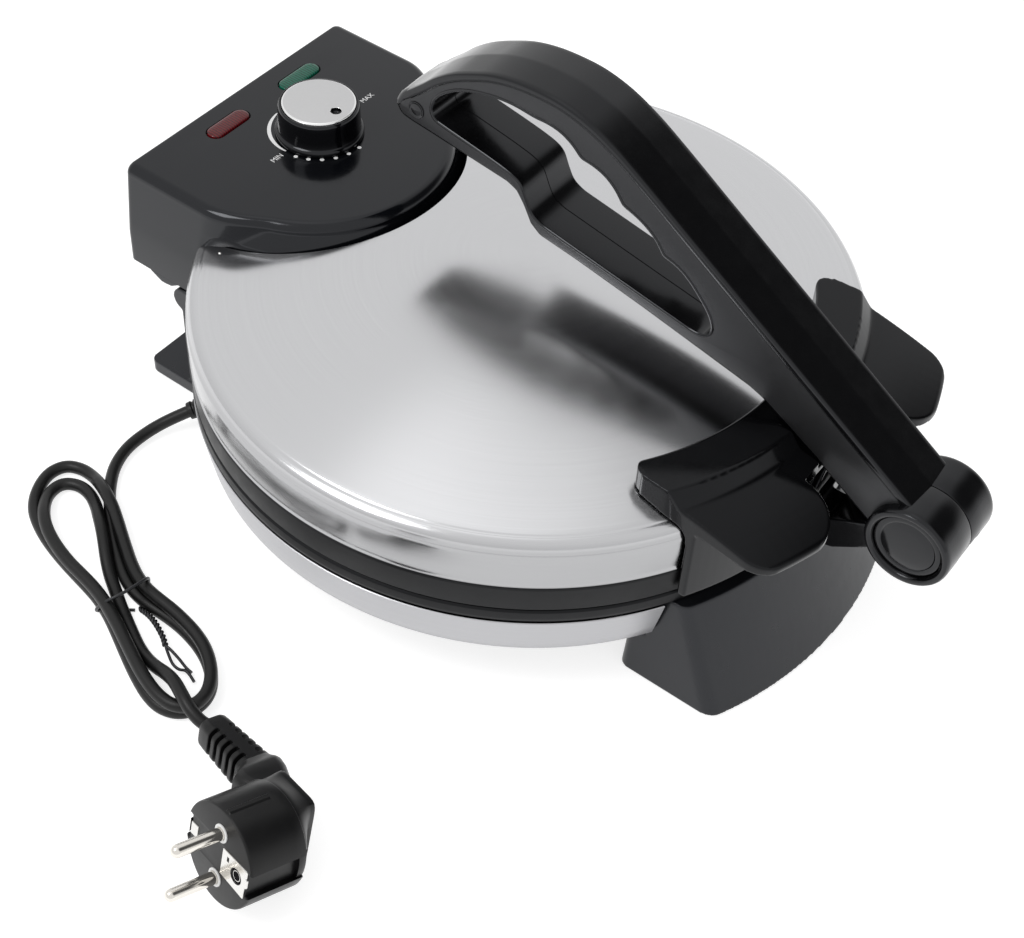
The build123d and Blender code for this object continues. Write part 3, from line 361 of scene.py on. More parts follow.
def lathe(profile, n=360, a0=0.0, a1=360.0, cut=None, centre=(0.0, 0.0), closed=True):
    """Turn a closed (r, z) profile about the vertical axis; cut = half width of a gap at +Y."""
    full = cut is None and abs(a1 - a0 - 360.0) < 1e-6
    rows = []
    cols = n if full else n + 1
    for j in range(cols):
        row = []
        for r, z in profile:
            if cut is None:
                s, e = a0, a1
            else:
                s = 180.0 - degrees(acos(min(1.0, cut / max(r, cut))))
                e = 360.0 + degrees(acos(min(1.0, cut / max(r, cut))))
            a = radians(s + (e - s) * j / n)
            row.append((centre[0] + r * cos(a), centre[1] + r * sin(a), z))
        rows.append(row)
    return grid(rows, closed_rows=full, closed_cols=closed, cap_ends=not full)


def arc_pts(cx, cy, r, a0, a1, n):
    return [(cx + r * cos(radians(a0 + (a1 - a0) * i / n)), cy + r * sin(radians(a0 + (a1 - a0) * i / n)))
            for i in range(n + 1)]


def round_poly(pts, rad, n=5):
    """Round the corners of a closed polygon. rad: one radius or one per corner."""
    out = []
    m = len(pts)
    for i in range(m):
        p = Vector(pts[i])
        a = Vector(pts[i - 1]) - p
        b = Vector(pts[(i + 1) % m]) - p
        r = rad[i] if isinstance(rad, (list, tuple)) else rad
        la, lb = a.length, b.length
        a.normalize()
        b.normalize()
        c = max(-0.9999, min(0.9999, a.dot(b)))
        th = acos(c)
        t = min(r / tan(th / 2), 0.48 * la, 0.48 * lb) if th > 1e-3 else 0
        if r <= 0 or t < 1e-4 or th > radians(176):
            out.append(tuple(p))
            continue
        rr = t * tan(th / 2)
        bis = (a + b).normalized()
        ctr = p + bis * (rr / sin(th / 2))
        p0, p1 = p + a * t, p + b * t
        v0, v1 = p0 - ctr, p1 - ctr
        a0 = atan2(v0.y, v0.x)
        a1 = atan2(v1.y, v1.x)
        d = (a1 - a0 + pi) % (2 * pi) - pi
        for k in range(n + 1):
            an = a0 + d * k / n
            out.append((ctr.x + rr * cos(an), ctr.y + rr * sin(an)))
    return out


def catmull(pts, step=1.0, closed=False):
    """Smooth curve through the points, evenly sampled at about the step."""
    P = [Vector(p) for p in pts]
    n = len(P)
    segs = n if closed else n - 1
    raw = []
    for i in range(segs):
        p1, p2 = P[i], P[(i + 1) % n]
        p0 = P[i - 1] if (i > 0 or closed) else p1 * 2 - p2
        p3 = P[(i + 2) % n] if (i + 2 < n or closed) else p2 * 2 - p1
        d = max(2, int((p2 - p1).length / step * 3))
        t0, t1 = 0.0, max((p1 - p0).length, 1e-6) ** 0.5
        t2 = t1 + max((p2 - p1).length, 1e-6) ** 0.5
        t3 = t2 + max((p3 - p2).length, 1e-6) ** 0.5
        for k in range(d):
            t = t1 + (t2 - t1) * k / d
            A1 = p0 * ((t1 - t) / (t1 - t0)) + p1 * ((t - t0) / (t1 - t0))
            A2 = p1 * ((t2 - t) / (t2 - t1)) + p2 * ((t - t1) / (t2 - t1))
            A3 = p2 * ((t3 - t) / (t3 - t2)) + p3 * ((t - t2) / (t3 - t2))
            B1 = A1 * ((t2 - t) / (t2 - t0)) + A2 * ((t - t0) / (t2 - t0))
            B2 = A2 * ((t3 - t) / (t3 - t1)) + A3 * ((t - t1) / (t3 - t1))
            raw.append(B1 * ((t2 - t) / (t2 - t1)) + B2 * ((t - t1) / (t2 - t1)))
    if not closed:
        raw.append(P[-1])
    return even(raw, step, closed)


def even(raw, step, closed=False):
    raw = [Vector(p) for p in raw]
    if closed:
        raw = raw + [raw[0]]
    L = [0.0]
    for a, b in zip(raw, raw[1:]):
        L.append(L[-1] + (b - a).length)
    n = max(3, int(round(L[-1] / step)))
    out, j = [], 0
    for i in range(n if closed else n + 1):
        s = L[-1] * i / n
        while j < len(L) - 2 and L[j + 1] < s:
            j += 1
        d = L[j + 1] - L[j]
        t = (s - L[j]) / d if d > 1e-9 else 0
        out.append(tuple(raw[j].lerp(raw[j + 1], t)))
    return out


def normals2(pts, closed=True):
    """Unit normals to the left of the direction of travel, averaged at each point."""
    n = len(pts)
    out = []
    for i in range(n):
        if closed:
            a, b = Vector(pts[i - 1]), Vector(pts[(i + 1) % n])
        else:
            a, b = Vector(pts[max(0, i - 1)]), Vector(pts[min(n - 1, i + 1)])
        d = (b - a).normalized()
        out.append(Vector((-d.y, d.x)))
    return out


def offset2(pts, d, closed=True):
    """Move each point by d to the right of travel: outwards for a counter-clockwise outline."""
    return [(p[0] - n.x * d, p[1] - n.y * d) for p, n in zip(pts, normals2(pts, closed))]


def poly_faces(loops):
    """Triangles of a flat region with holes; loops of 2-D points, returns (points, triangles)."""
    vs = [[Vector((p[0], p[1], 0)) for p in lp] for lp in loops]
    tris = tessellate_polygon(vs)
    flat = [tuple(p) for lp in loops for p in lp]
    return flat, [tuple(t) for t in tris]


class Acc:
    """Collects points and faces of one mesh."""

    def __init__(self):
        self.v, self.f, self.m = [], [], []

    def add(self, verts, faces, mat=0):
        o = len(self.v)
        self.v += [tuple(p) for p in verts]
        self.f += [tuple(i + o for i in f) for f in faces]
        self.m += [mat] * len(faces)


def remesh(node, mat, voxel=0.0005, smooth=4, factor=0.5):
    o = bpy.data.objects[node]
    o.material_slots[0].material = mat
    r = o.modifiers.new("even", "REMESH")
    r.mode = "VOXEL"
    r.voxel_size = voxel
    r.use_smooth_shade = True
    s = o.modifiers.new("soft", "SMOOTH")
    s.iterations = smooth
    s.factor = factor
    return o


def give(node, mat):
    o = bpy.data.objects[node]
    for s in o.material_slots:
        s.material = mat
    if not o.material_slots:
        o.data.materials.append(mat)
    return o


# ------------------------------------------------------------------ cord
CORD = [(-97.0, 160.5, 11.0), (-104.6, 166.4, 7.6), (-116.0, 171.2, 4.6), (-130.0, 172.3, 3.5), (-143.0, 168.2, 3.2),
        (-153.5, 160.5, 3.15), (-159.3, 154.9, 3.1), (-165.4, 148.4, 3.1), (-171.4, 141.6, 3.1), (-177.1, 134.7, 3.1),
        (-182.2, 127.3, 3.1), (-186.9, 119.6, 3.1), (-191.1, 111.6, 3.1), (-193.7, 103.0, 3.1), (-194.3, 94.1, 3.1),
        (-193.9, 85.1, 3.1), (-194.2, 76.1, 3.1), (-195.5, 67.2, 3.1), (-197.8, 58.5, 3.1), (-201.4, 50.3, 3.1),
        (-206.7, 43.0, 3.1), (-214.1, 37.9, 3.1), (-222.9, 36.9, 3.1), (-230.1, 41.9, 3.1), (-232.8, 50.3, 3.1),
        (-231.3, 59.2, 3.1), (-228.1, 67.6, 3.1), (-224.4, 75.8, 3.1), (-220.4, 83.8, 3.1), (-216.3, 91.8, 3.1),
        (-212.2, 99.9, 3.1), (-208.6, 108.1, 3.1), (-205.8, 116.7, 3.1), (-204.0, 125.5, 3.1), (-202.4, 134.3, 3.1),
        (-200.6, 143.2, 3.1), (-198.5, 151.9, 3.1), (-195.9, 160.5, 3.1), (-192.5, 168.9, 3.1), (-188.2, 176.7, 3.1),
        (-181.8, 183.1, 3.1), (-174.0, 187.5, 3.1), (-165.3, 189.7, 3.1), (-157.1, 186.9, 3.1), (-153.7, 178.8, 3.1),
        (-154.6, 169.9, 4.1), (-157.7, 162.1, 7.3), (-161.2, 154.1, 9.2), (-165.1, 146.0, 9.0), (-169.7, 138.3, 8.2),
        (-174.5, 130.7, 7.4), (-179.2, 123.1, 7.1), (-183.9, 115.4, 7.2), (-187.9, 107.3, 7.4), (-190.7, 98.8, 8.2),
        (-191.8, 89.9, 8.8), (-192.4, 81.0, 9.1), (-193.7, 72.1, 9.2), (-195.6, 63.3, 9.3), (-198.6, 54.8, 9.3),
        (-203.2, 47.1, 9.4), (-209.2, 40.4, 9.4), (-216.9, 35.8, 9.3), (-225.7, 35.9, 9.1), (-231.2, 42.6, 9.2),
        (-231.3, 51.5, 9.1), (-229.1, 60.2, 9.0), (-226.0, 68.7, 9.2), (-222.3, 76.9, 9.2), (-218.5, 85.1, 9.3),
        (-214.7, 93.2, 9.3), (-211.2, 101.5, 9.4), (-208.0, 109.9, 9.4), (-205.7, 118.6, 9.4), (-204.1, 127.5, 9.4),
        (-202.7, 136.4, 9.3), (-200.5, 145.1, 9.4), (-197.6, 153.6, 9.3), (-193.7, 161.7, 9.1), (-188.5, 169.0, 8.1),
        (-182.3, 175.1, 5.7), (-175.2, 179.9, 3.5), (-166.6, 180.0, 3.1), (-162.1, 172.6, 3.1), (-163.1, 163.7, 3.1),
        (-167.2, 155.8, 3.7), (-172.2, 148.7, 6.0), (-177.3, 141.4, 7.5), (-182.8, 134.3, 7.4), (-188.4, 127.5, 5.8),
        (-193.5, 120.3, 3.7), (-197.9, 112.5, 3.1), (-202.5, 104.8, 3.1), (-206.7, 96.8, 3.1), (-210.8, 88.8, 3.1),
        (-214.8, 80.7, 3.1), (-217.6, 72.4, 3.9), (-219.6, 64.8, 7.0), (-221.2, 57.0, 11.0), (-223.4, 49.2, 14.3),
        (-227.2, 41.0, 15.6), (-229.9, 34.6, 15.0), (-231.0, 28.4, 13.0), (-230.6, 24.0, 11.4), (-229.2, 20.3, 10.5)]
cu = bpy.data.curves.new("mains_cord", "CURVE")
cu.dimensions = "3D"
sp = cu.splines.new("NURBS")
sp.points.add(len(CORD) - 1)
for p, q in zip(sp.points, CORD):
    p.co = (q[0] * 0.001, q[1] * 0.001, q[2] * 0.001, 1.0)
sp.order_u = 3
sp.use_endpoint_u = True
sp.resolution_u = 6
cu.bevel_depth = 0.0031
cu.bevel_resolution = 5
cu.use_fill_caps = True
cu.materials.append(M_CORD)
cord = bpy.data.objects.new("mains_cord", cu)
bpy.context.scene.collection.objects.link(cord)
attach(cord, "base")
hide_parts("cord", "cord_hank", "cord_end")

# ------------------------------------------------------------------ lid
DK = 1232.0


def dome(r):
    return 127.5 - r * r / DK


prof = []
r = 0.0
while r < 153.0:
    prof.append((r, dome(r)))
    r += 3.0
prof += [(152.6, dome(152.6)), (153.2, dome(153.2) - 0.12), (153.7, dome(153.7) - 0.30), (154.2, dome(154.2) - 0.18), (154.7, dome(154.7) - 0.08)]
# shoulder, a tight arc that turns down into the side
for i in range(1, 15):
    a = radians(74 - 66 * i / 14.0)
    prof.append((154.2 + 4.9 * cos(a) - 0.4, 103.1 + 4.7 * sin(a)))
prof += [(158.85, 103.2), (159.0, 102.7), (159.2, 102.1)]
for i in range(0, 11):
    z = 101.4 - i * 1.88
    prof.append((159.4 + 0.6 * sin(pi * min(1.0, (i + 1.5) / 11.0)), z))
prof += [(159.85, 81.9), (159.3, 81.6), (158.8, 82.2), (158.7, 84.0)]
inner = [(157.7, 100.5), (156.2, 104.0), (153.0, dome(153) - 0.9)] + \
        [(r_, dome(r_) - 0.9) for r_ in range(150, 0, -6)] + [(0.0, dome(0) - 0.9)]
full_prof = prof + inner
NLID = 480
rows = []
for j in range(NLID):
    a = 2 * pi * j / NLID
    rows.append([(r_ * cos(a), r_ * sin(a), z_) for r_, z_ in full_prof])
lv, lf = grid(rows, closed_rows=True)


def raw_object(name, verts, faces):
    me = bpy.data.meshes.new(name)
    me.from_pydata([W(v) for v in verts], [], faces)
    bm = bmesh.new()
    bm.from_mesh(me)
    bmesh.ops.remove_doubles(bm, verts=bm.verts, dist=1e-6)
    bmesh.ops.recalc_face_normals(bm, faces=bm.faces)
    bm.to_mesh(me)
    bm.free()
    o = bpy.data.objects.new(name, me)
    bpy.context.scene.collection.objects.link(o)
    return o


def prism(outline, z0, z1):
    n = len(outline)
    v = [(x, y, z0) for x, y in outline] + [(x, y, z1) for x, y in outline]
    f = [(i, (i + 1) % n, n + (i + 1) % n, n + i) for i in range(n)]
    f.append(tuple(range(n))[::-1])
    f.append(tuple(range(n, 2 * n)))
    return v, f


def cut_with(obj, cutters):
    for c in cutters:
        md = obj.modifiers.new("cut", "BOOLEAN")
        md.operation = "DIFFERENCE"
        md.solver = "EXACT"
        md.object = c
    dg = bpy.context.evaluated_depsgraph_get()
    dg.update()
    me = bpy.data.meshes.new_from_object(obj.evaluated_get(dg))
    for md in list(obj.modifiers):
        obj.modifiers.remove(md)
    obj.data = me
    for c in cutters:
        bpy.data.objects.remove(c, do_unlink=True)
    return me


lid_raw = raw_object("lid_raw", lv, lf)
NR = 73.9
notch = [(NR * cos(radians(a)), 131.2 + NR * sin(radians(a))) for a in range(0, -181, -2)] + \
        [(-75.0, 133.0), (-77.2, 135.6), (-80.2, 137.2), (-80.2, 230), (80.2, 230), (80.2, 137.2), (77.2, 135.6), (75.0, 133.0)]
c1 = raw_object("c1", *prism(notch[::-1], 60, 150))
c2 = raw_object("c2", *prism([(-81.8, 112), (81.8, 112), (81.8, 230), (-81.8, 230)], 60, 95.5))
me = cut_with(lid_raw, [c1, c2])
lid_raw.name = "steel_lid"
me.materials.clear()
me.materials.append(M_LID)
for p in me.polygons:
    p.use_smooth = True
me.set_sharp_from_angle(angle=radians(38))
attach(lid_raw, "lid")
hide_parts("lid_shell")

# small rivet in the lid beside the control box
rv_z = dome(hypot(-77.6, 123.4))
rows = [[(-77.6 + r_ * cos(2 * pi * i / 24), 123.4 + r_ * sin(2 * pi * i / 24), rv_z + z_) for i in range(24)]
        for r_, z_ in ((0.85, -0.3), (0.85, 0.1), (0.72, 0.3), (0.4, 0.42), (0.02, 0.46))]
v, f = grid(rows, closed_cols=True)
build("lid_rivet", v, f, "lid", M_BRIGHT, sharp=50)

# ------------------------------------------------------------------ rims and lower shell
up_prof = round_poly([(149, 66.1), (158.6, 66.1), (159.6, 66.9), (159.7, 79.6), (159.5, 80.9), (158.6, 81.3), (158.3, 85.2),
                      (156.4, 85.2), (156.4, 76.7), (138.4, 76.7), (138.4, 73.9), (149, 73.9)], 0.7, 4)
v, f = lathe(up_prof, 420, cut=81.8)
build("upper_rim_band", v, f, "lid", M_RIM, ["upper_rim"])
lo_prof = round_poly([(139, 58.9), (139, 57.4), (150, 57.4), (158.3, 57.5), (158.9, 57.7), (159.05, 58.4), (159.6, 58.9),
                      (159.8, 60.4), (159.8, 64.6), (158.9, 65.6), (149, 65.6), (149, 58.9)], 0.55, 4)
v, f = lathe(lo_prof, 420, cut=81.8)
build("lower_rim_band", v, f, "base", M_RIM, ["lower_rim"])

sh = [(143, 35.2), (143, 34.4), (154.9, 34.4), (155.7, 34.7), (156.2, 35.5), (157.2, 41.0), (158.5, 48.5), (159.5, 55.0),
      (159.9, 57.0), (159.5, 57.3), (159.0, 57.0), (158.6, 55.2), (157.0, 45.0), (155.4, 36.4), (154.7, 35.3)]
acc = Acc()
for a0, a1 in ((-1, 1), (1, -1)):
    rows = []
    n = 150
    for j in range(n + 1):
        row = []
        for r_, z_ in sh:
            lim = acos(81.8 / r_)
            a = -lim + 2 * lim * j / n
            row.append((a0 * r_ * cos(a), r_ * sin(a), z_))
        rows.append(row)
    v, f = grid(rows, closed_cols=True, cap_ends=True)
    acc.add(v, f)
build("lower_shell_band", acc.v, acc.f, "base", M_SHELL, ["base_shell"], sharp=40)

# ------------------------------------------------------------------ control box


def box_ring(o, rc=3.6, yb=185.0, w=79.6, back_o=None, z=None):
    """Casing outline moved inwards by o; a fixed number of points on each stretch."""
    lean_l = 0.0 if z is None else max(0.0, z - 90.0) * 0.105
    lean_r = 0.0 if z is None else max(0.0, z - 100.0) * 0.02
    lean_f = 0.0 if z is None else max(0.0, z - 115.0) * 0.5
    tz = 0.0 if z is None else min(1.0, max(0.0, (z - 104.0) / 21.0))
    y_lo, y_hi = 129.5 - 27.0 * tz, 137.6 - 2.0 * tz
    wl, wr = w - o - lean_l, w - o - lean_r
    rf, cx, cy = 73.2 - o - lean_f, -0.4 * tz, 131.2
    yb = yb - (o if back_o is None else back_o)
    rc = max(rc - 0.3 * o, 1.6)
    a_lo = degrees(atan2(cy - y_lo, sqrt(rf * rf - (cy - y_lo) ** 2)))

    def blend(side_x, n_=18):
        out_ = []
        for i_ in range(1, n_ + 1):
            t_ = i_ / n_
            y_ = y_lo + (y_hi - y_lo) * t_
            ax = rf if y_ >= cy else sqrt(rf * rf - (cy - y_) ** 2)
            s_ = t_ * t_ * (3 - 2 * t_)
            out_.append((ax + (side_x - ax) * s_, y_))
        return out_

    pts = []
    for i in range(0, 145):                       # front arc from +X round to -X
        a = radians(-a_lo - (180.0 - 2 * a_lo) * i / 144.0)
        pts.append((cx + rf * cos(a), cy + rf * sin(a)))
    pts += [(cx * (1 - i_ / 18.0) - x_, y_) for i_, (x_, y_) in enumerate(blend(wl), 1)]
    for i in range(1, 37):                        # left side
        t = i / 37.0
        pts.append((-wl, y_hi + (yb - rc - y_hi) * t))
    for i in range(0, 13):
        a = radians(180 - 90 * i / 12.0)
        pts.append((-wl + rc + rc * cos(a), yb - rc + rc * sin(a)))
    for i in range(1, 30):
        t = i / 30.0
        pts.append((-wl + rc + (wl + wr - 2 * rc) * t, yb))
    for i in range(0, 13):
        a = radians(90 - 90 * i / 12.0)
        pts.append((wr - rc + rc * cos(a), yb - rc + rc * sin(a)))
    for i in range(1, 37):
        t = i / 37.0
        pts.append((wr, yb - rc + (y_hi - yb + rc) * t))
    pts += [(cx * (1 - i_ / 18.0) + x_, y_) for i_, (x_, y_) in list(enumerate(blend(wr), 1))[::-1]]
    return pts


Z1 = 129.5
RF = 5.0
RH = 5.3
acc = Acc()
rings = []


def low_z(p):
    return 73.6 if hypot(p[0], p[1]) > 161.2 else 90.0


r0 = box_ring(0.0)
inner0 = box_ring(2.2)
rings.append([(p[0], p[1], max(86.0, low_z(p))) for p in inner0])
rings.append([(p[0], p[1], low_z(q) + 0.2) for p, q in zip(box_ring(1.9), r0)])
rings.append([(p[0], p[1], low_z(q)) for p, q in zip(box_ring(0.5), r0)])
rings.append([(p[0], p[1], low_z(q) + 0.5) for p, q in zip(box_ring(0.05), r0)])
for z in (92.0, 98.0, 104.0, 107.0, 110.0, 113.0, 115.0, 116.0, 118.0, 120.0, 122.0, 123.5, Z1 - RF):
    rings.append([(p[0], p[1], z) for p in box_ring(0.0, z=z)])
for i in range(1, 15):
    a = radians(90.0 * i / 14.0)
    rings.append([(p[0], p[1], Z1 - RF + RF * sin(a)) for p in box_ring(RH * (1 - cos(a)), z=Z1 - RF, back_o=2.6 * (1 - cos(a)))])
v, f = grid(rings, closed_cols=True)
acc.add(v, f)
top_out = [(p[0], p[1]) for p in rings[-1]]


def slot_loop(cx, cy, L, Wd, n=14):
    h = L / 2 - Wd / 2
    out = []
    for i in range(n + 1):
        a = radians(-90 + 180 * i / n)
        out.append((cx + h + Wd / 2 * cos(a), cy + Wd / 2 * sin(a)))
    for i in range(n + 1):
        a = radians(90 + 180 * i / n)
        out.append((cx - h + Wd / 2 * cos(a), cy + Wd / 2 * sin(a)))
    return out


LAMPS = [(-21.2, 168.6), (29.8, 167.8)]
holes = [slot_loop(x, y, 27.2, 10.4) for x, y in LAMPS]
pts, tris = poly_faces([top_out] + holes)
acc.add([(p[0], p[1], Z1) for p in pts], tris)
for (x, y) in LAMPS:
    rws = []
    for (L, Wd, z) in ((27.2, 10.4, Z1), (26.9, 10.1, Z1 - 0.2), (26.8, 10.0, Z1 - 0.8), (26.8, 10.0, Z1 - 4.5)):
        rws.append([(px, py, z) for px, py in slot_loop(x, y, L, Wd)])
    v, f = grid(rws, closed_cols=True)
    acc.add(v, f)
build("control_housing", acc.v, acc.f, "lid", M_BOX, ["control_box"], sharp=30)

# lamps
for (nm, mat, (x, y)) in (("lamp_red", M_RED, LAMPS[0]), ("lamp_green", M_GREEN, LAMPS[1])):
    rws = []
    for (L, Wd, z) in ((25.8, 9.0, 123.7), (25.8, 9.0, 129.3), (25.4, 8.6, 129.95), (24.6, 7.8, 130.25), (23.0, 6.2, 130.45),
                       (20.0, 3.2, 130.55)):
        rws.append([(px, py, z) for px, py in slot_loop(x, y, L, Wd)])
    v, f = grid(rws, closed_cols=True)
    a = Acc()
    a.add(v, f)
    pts, tris = poly_faces([[(p[0], p[1]) for p in rws[-1]]])
    a.add([(p[0], p[1], rws[-1][0][2]) for p in pts], tris)
    pts, tris = poly_faces([[(p[0], p[1]) for p in rws[0]]])
    a.add([(p[0], p[1], rws[0][0][2]) for p in pts], tris)
    build(nm + "_lens", a.v, a.f, "lid", mat, [nm], sharp=28)

# printed dial marks
acc = Acc()
KX, KY = 3.5, 131.5
ZP = 129.56


def disc(cx, cy, rad, z, n=20):
    return [(cx, cy, z)] + [(cx + rad * cos(2 * pi * i / n), cy + rad * sin(2 * pi * i / n), z) for i in range(n)], \
        [(0, 1 + i, 1 + (i + 1) % n) for i in range(n)]


for rr_, aa_ in ((22.8, -169.1), (22.5, -153.0), (22.3, -136.3), (22.3, -119.1), (22.6, -101.1), (23.1, -83.8)):
    v, f = disc(KX + rr_ * cos(radians(aa_)), KY + rr_ * sin(radians(aa_)), 1.05, ZP)
    acc.add(v, f)
# tapered arc behind the dial
n = 60
rows = []
for i in range(n + 1):
    t = i / n
    an = radians(96 + 79 * t)
    rr_ = 24.6 - 0.084 * t - 2.416 * t * t + 0.35
    w = 0.22 + 0.72 * sin(pi * t) ** 0.6
    rows.append([(KX + (rr_ + s * w) * cos(an), KY + (rr_ + s * w) * sin(an), ZP) for s in (-1, 1)])
v, f = grid(rows)
acc.add(v, f)
build("dial_print", acc.v, acc.f, "lid", M_PRINT)


def lettering(name, text, cx, cy, size):
    cu_ = bpy.data.curves.new(name, "FONT")
    cu_.body = text
    cu_.size = size * 0.001
    cu_.align_x = "CENTER"
    cu_.align_y = "CENTER"
    cu_.extrude = 0.00003
    tmp = bpy.data.objects.new(name + "_t", cu_)
    bpy.context.scene.collection.objects.link(tmp)
    dg_ = bpy.context.evaluated_depsgraph_get()
    me_ = bpy.data.meshes.new_from_object(tmp.evaluated_get(dg_))
    bpy.data.objects.remove(tmp, do_unlink=True)
    me_.transform(Matrix.Translation(Vector(W((cx, cy, ZP)))))
    me_.materials.clear()
    me_.materials.append(M_PRINT)
    o_ = bpy.data.objects.new(name, me_)
    bpy.context.scene.collection.objects.link(o_)
    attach(o_, "lid")
    return o_


lettering("dial_min", "MIN", -25.5, 133.2, 4.0)
lettering("dial_max", "MAX", 38.4, 130.8, 4.0)

# ------------------------------------------------------------------ knob
kp = [(3.2, 130.1), (21.2, 130.1), (21.7, 130.3), (21.75, 130.9), (21.6, 132.2), (21.1, 132.9), (20.45, 133.3), (20.25, 134.0),
      (20.1, 137.0), (19.9, 142.5), (19.8, 144.9), (19.65, 145.7), (19.2, 146.3), (18.8, 146.45), (18.45, 146.3),
      (18.35, 145.8), (18.3, 144.6), (3.2, 144.6)]
v, f = lathe(kp, 180, centre=(KX, KY))
build("knob_body", v, f, "knob", M_KNOB, ["knob_skirt"], sharp=30)
# disc with a dimple near its front edge
acc = Acc()
rows = []
ND = 128
dprof = [(18.1, 144.8), (18.1, 146.3), (17.9, 146.75), (17.2, 147.2), (16.8, 147.26)]
for r_, z_ in dprof:
    rows.append([(KX + r_ * cos(2 * pi * i / ND), KY + r_ * sin(2 * pi * i / ND), z_) for i in range(ND)])
v, f = grid(rows, closed_cols=True)
acc.add(v, f[:ND * 3], 1)
acc.add(v, f[ND * 3:], 0)
DX, DY, DR = KX - 0.4, KY - 11.2, 2.8
outer = [(KX + 16.8 * cos(2 * pi * i / ND), KY + 16.8 * sin(2 * pi * i / ND)) for i in range(ND)]
hole = [(DX + DR * cos(2 * pi * i / 32), DY + DR * sin(2 * pi * i / 32)) for i in range(32)]
pts, tris = poly_faces([outer, hole])
acc.add([(p[0], p[1], 147.26) for p in pts], tris, 0)
rows = []
for r_, z_ in ((DR, 147.26), (DR - 0.15, 147.1), (DR - 0.3, 146.6), (DR - 0.7, 145.7), (DR - 1.5, 145.2), (0.05, 145.05)):
    rows.append([(DX + r_ * cos(2 * pi * i / 32), DY + r_ * sin(2 * pi * i / 32), z_) for i in range(32)])
v, f = grid(rows, closed_cols=True)
acc.add(v, f[:32], 1)
acc.add(v, f[32:], 2)
KNOB_TOP = acc

# ------------------------------------------------------------------ lever
PY, PZ = -213.5, 97.3
TOP = [(68.6, 190.4), (66.9, 193.6), (61.4, 198.4), (54.5, 204.6), (47.5, 211.2), (38.0, 218.0), (27.0, 223.6),
       (17.0, 227.7), (5.0, 230.4), (-8.0, 231.3), (-20.0, 230.7), (-34.0, 227.2), (-48.0, 220.7), (-62.0, 212.3),
       (-84.0, 198.0)]
LOW = [(68.4, 188.6), (67.6, 185.8), (66.0, 183.8), (63.4, 182.5), (59.0, 181.8), (48.0, 180.6), (6.0, 175.6), (1.0, 173.4), (-3.0, 168.0), (-7.6, 159.6), (-13.0, 155.6),
       (-33.0, 152.6), (-69.0, 145.9), (-101.0, 139.2), (-126.0, 133.9), (-132.4, 131.6), (-163.2, 114.0),
       (-170.3, 109.2), (-191.1, 96.0)]
OPT = [(45.8, 190.2), (47.6, 193.4), (46.4, 199.0), (41.5, 205.2), (33.5, 210.6), (22.0, 214.9), (7.0, 217.3),
       (-7.4, 216.4), (-13.0, 216.6), (-20.0, 215.4), (-26.0, 212.2), (-31.0, 207.6), (-37.0, 207.0),
       (-43.5, 204.8), (-49.0, 200.6), (-53.6, 194.6), (-60.0, 192.6), (-66.5, 189.4), (-72.0, 184.8),
       (-75.9, 179.4), (-82.0, 178.0), (-88.0, 174.8), (-95.0, 168.4), (-101.5, 160.6), (-103.6, 154.4),
       (-101.2, 150.0), (-95.6, 148.8)]
OPL = [(-69.0, 153.4), (-14.6, 163.0), (-9.2, 166.0), (-5.6, 172.2), (-2.2, 179.0), (2.0, 181.6)]
top_curve = catmull(TOP, 2.0)                      # from the nose to the arm
arm_end = (PY + 4.0, PZ + 19.4)
a_, b_ = Vector(TOP[-1]), Vector(arm_end)
nseg = int((b_ - a_).length / 4)
top_line = top_curve + [tuple(a_.lerp(b_, i / nseg)) for i in range(1, nseg + 1)]

# web: flat sides with the opening, rounded edges below
web_top = offset2(top_line, 2.6, closed=False)     # travel from nose to barrel: inwards is to the right... checked below
# make sure the offset goes inwards (towards smaller z on the hump)
if web_top[20][1] > top_line[20][1]:
    web_top = offset2(top_line, -2.6, closed=False)
low_line = even([Vector(p) for p in LOW], 2.0)
outline = web_top[1:] + [(PY + 12.0, PZ - 6.0)] + low_line[::-1]
outline = round_poly(outline, 1.2, 2) if False else outline
area2 = sum(a[0] * b[1] - b[0] * a[1] for a, b in zip(outline, outline[1:] + outline[:1]))
if area2 < 0:
    outline = outline[::-1]
# corners of the opening: scallop cusps stay, the rest is smooth
op_top = catmull(OPT[:8], 1.6)
cusps = [(-7.4, 216.4), (-31.0, 207.6), (-53.6, 194.6), (-75.9, 179.4)]
parts_ = [OPT[0:8], OPT[7:12], OPT[11:16], OPT[15:20], OPT[19:27]]
low_corner = [OPT[26]] + OPL + [OPT[0]]
op = []
for pr in parts_:
    c = catmull(pr, 1.4)
    op += c[:-1] if pr is not parts_[-1] else c
op += catmull(low_corner[:3] , 1.4)[1:-1] + catmull(low_corner[2:], 1.4)[:-1]
op = even(op, 1.25, closed=True)
area2 = sum(a[0] * b[1] - b[0] * a[1] for a, b in zip(op, op[1:] + op[:1]))
if area2 < 0:
    op = op[::-1]


def smooth_loop(pts, k=1):
    for _ in range(k):
        n_ = len(pts)
        pts = [tuple((Vector(pts[i - 1]) + Vector(pts[i]) * 2 + Vector(pts[(i + 1) % n_])) / 4) for i in range(n_)]
    return pts


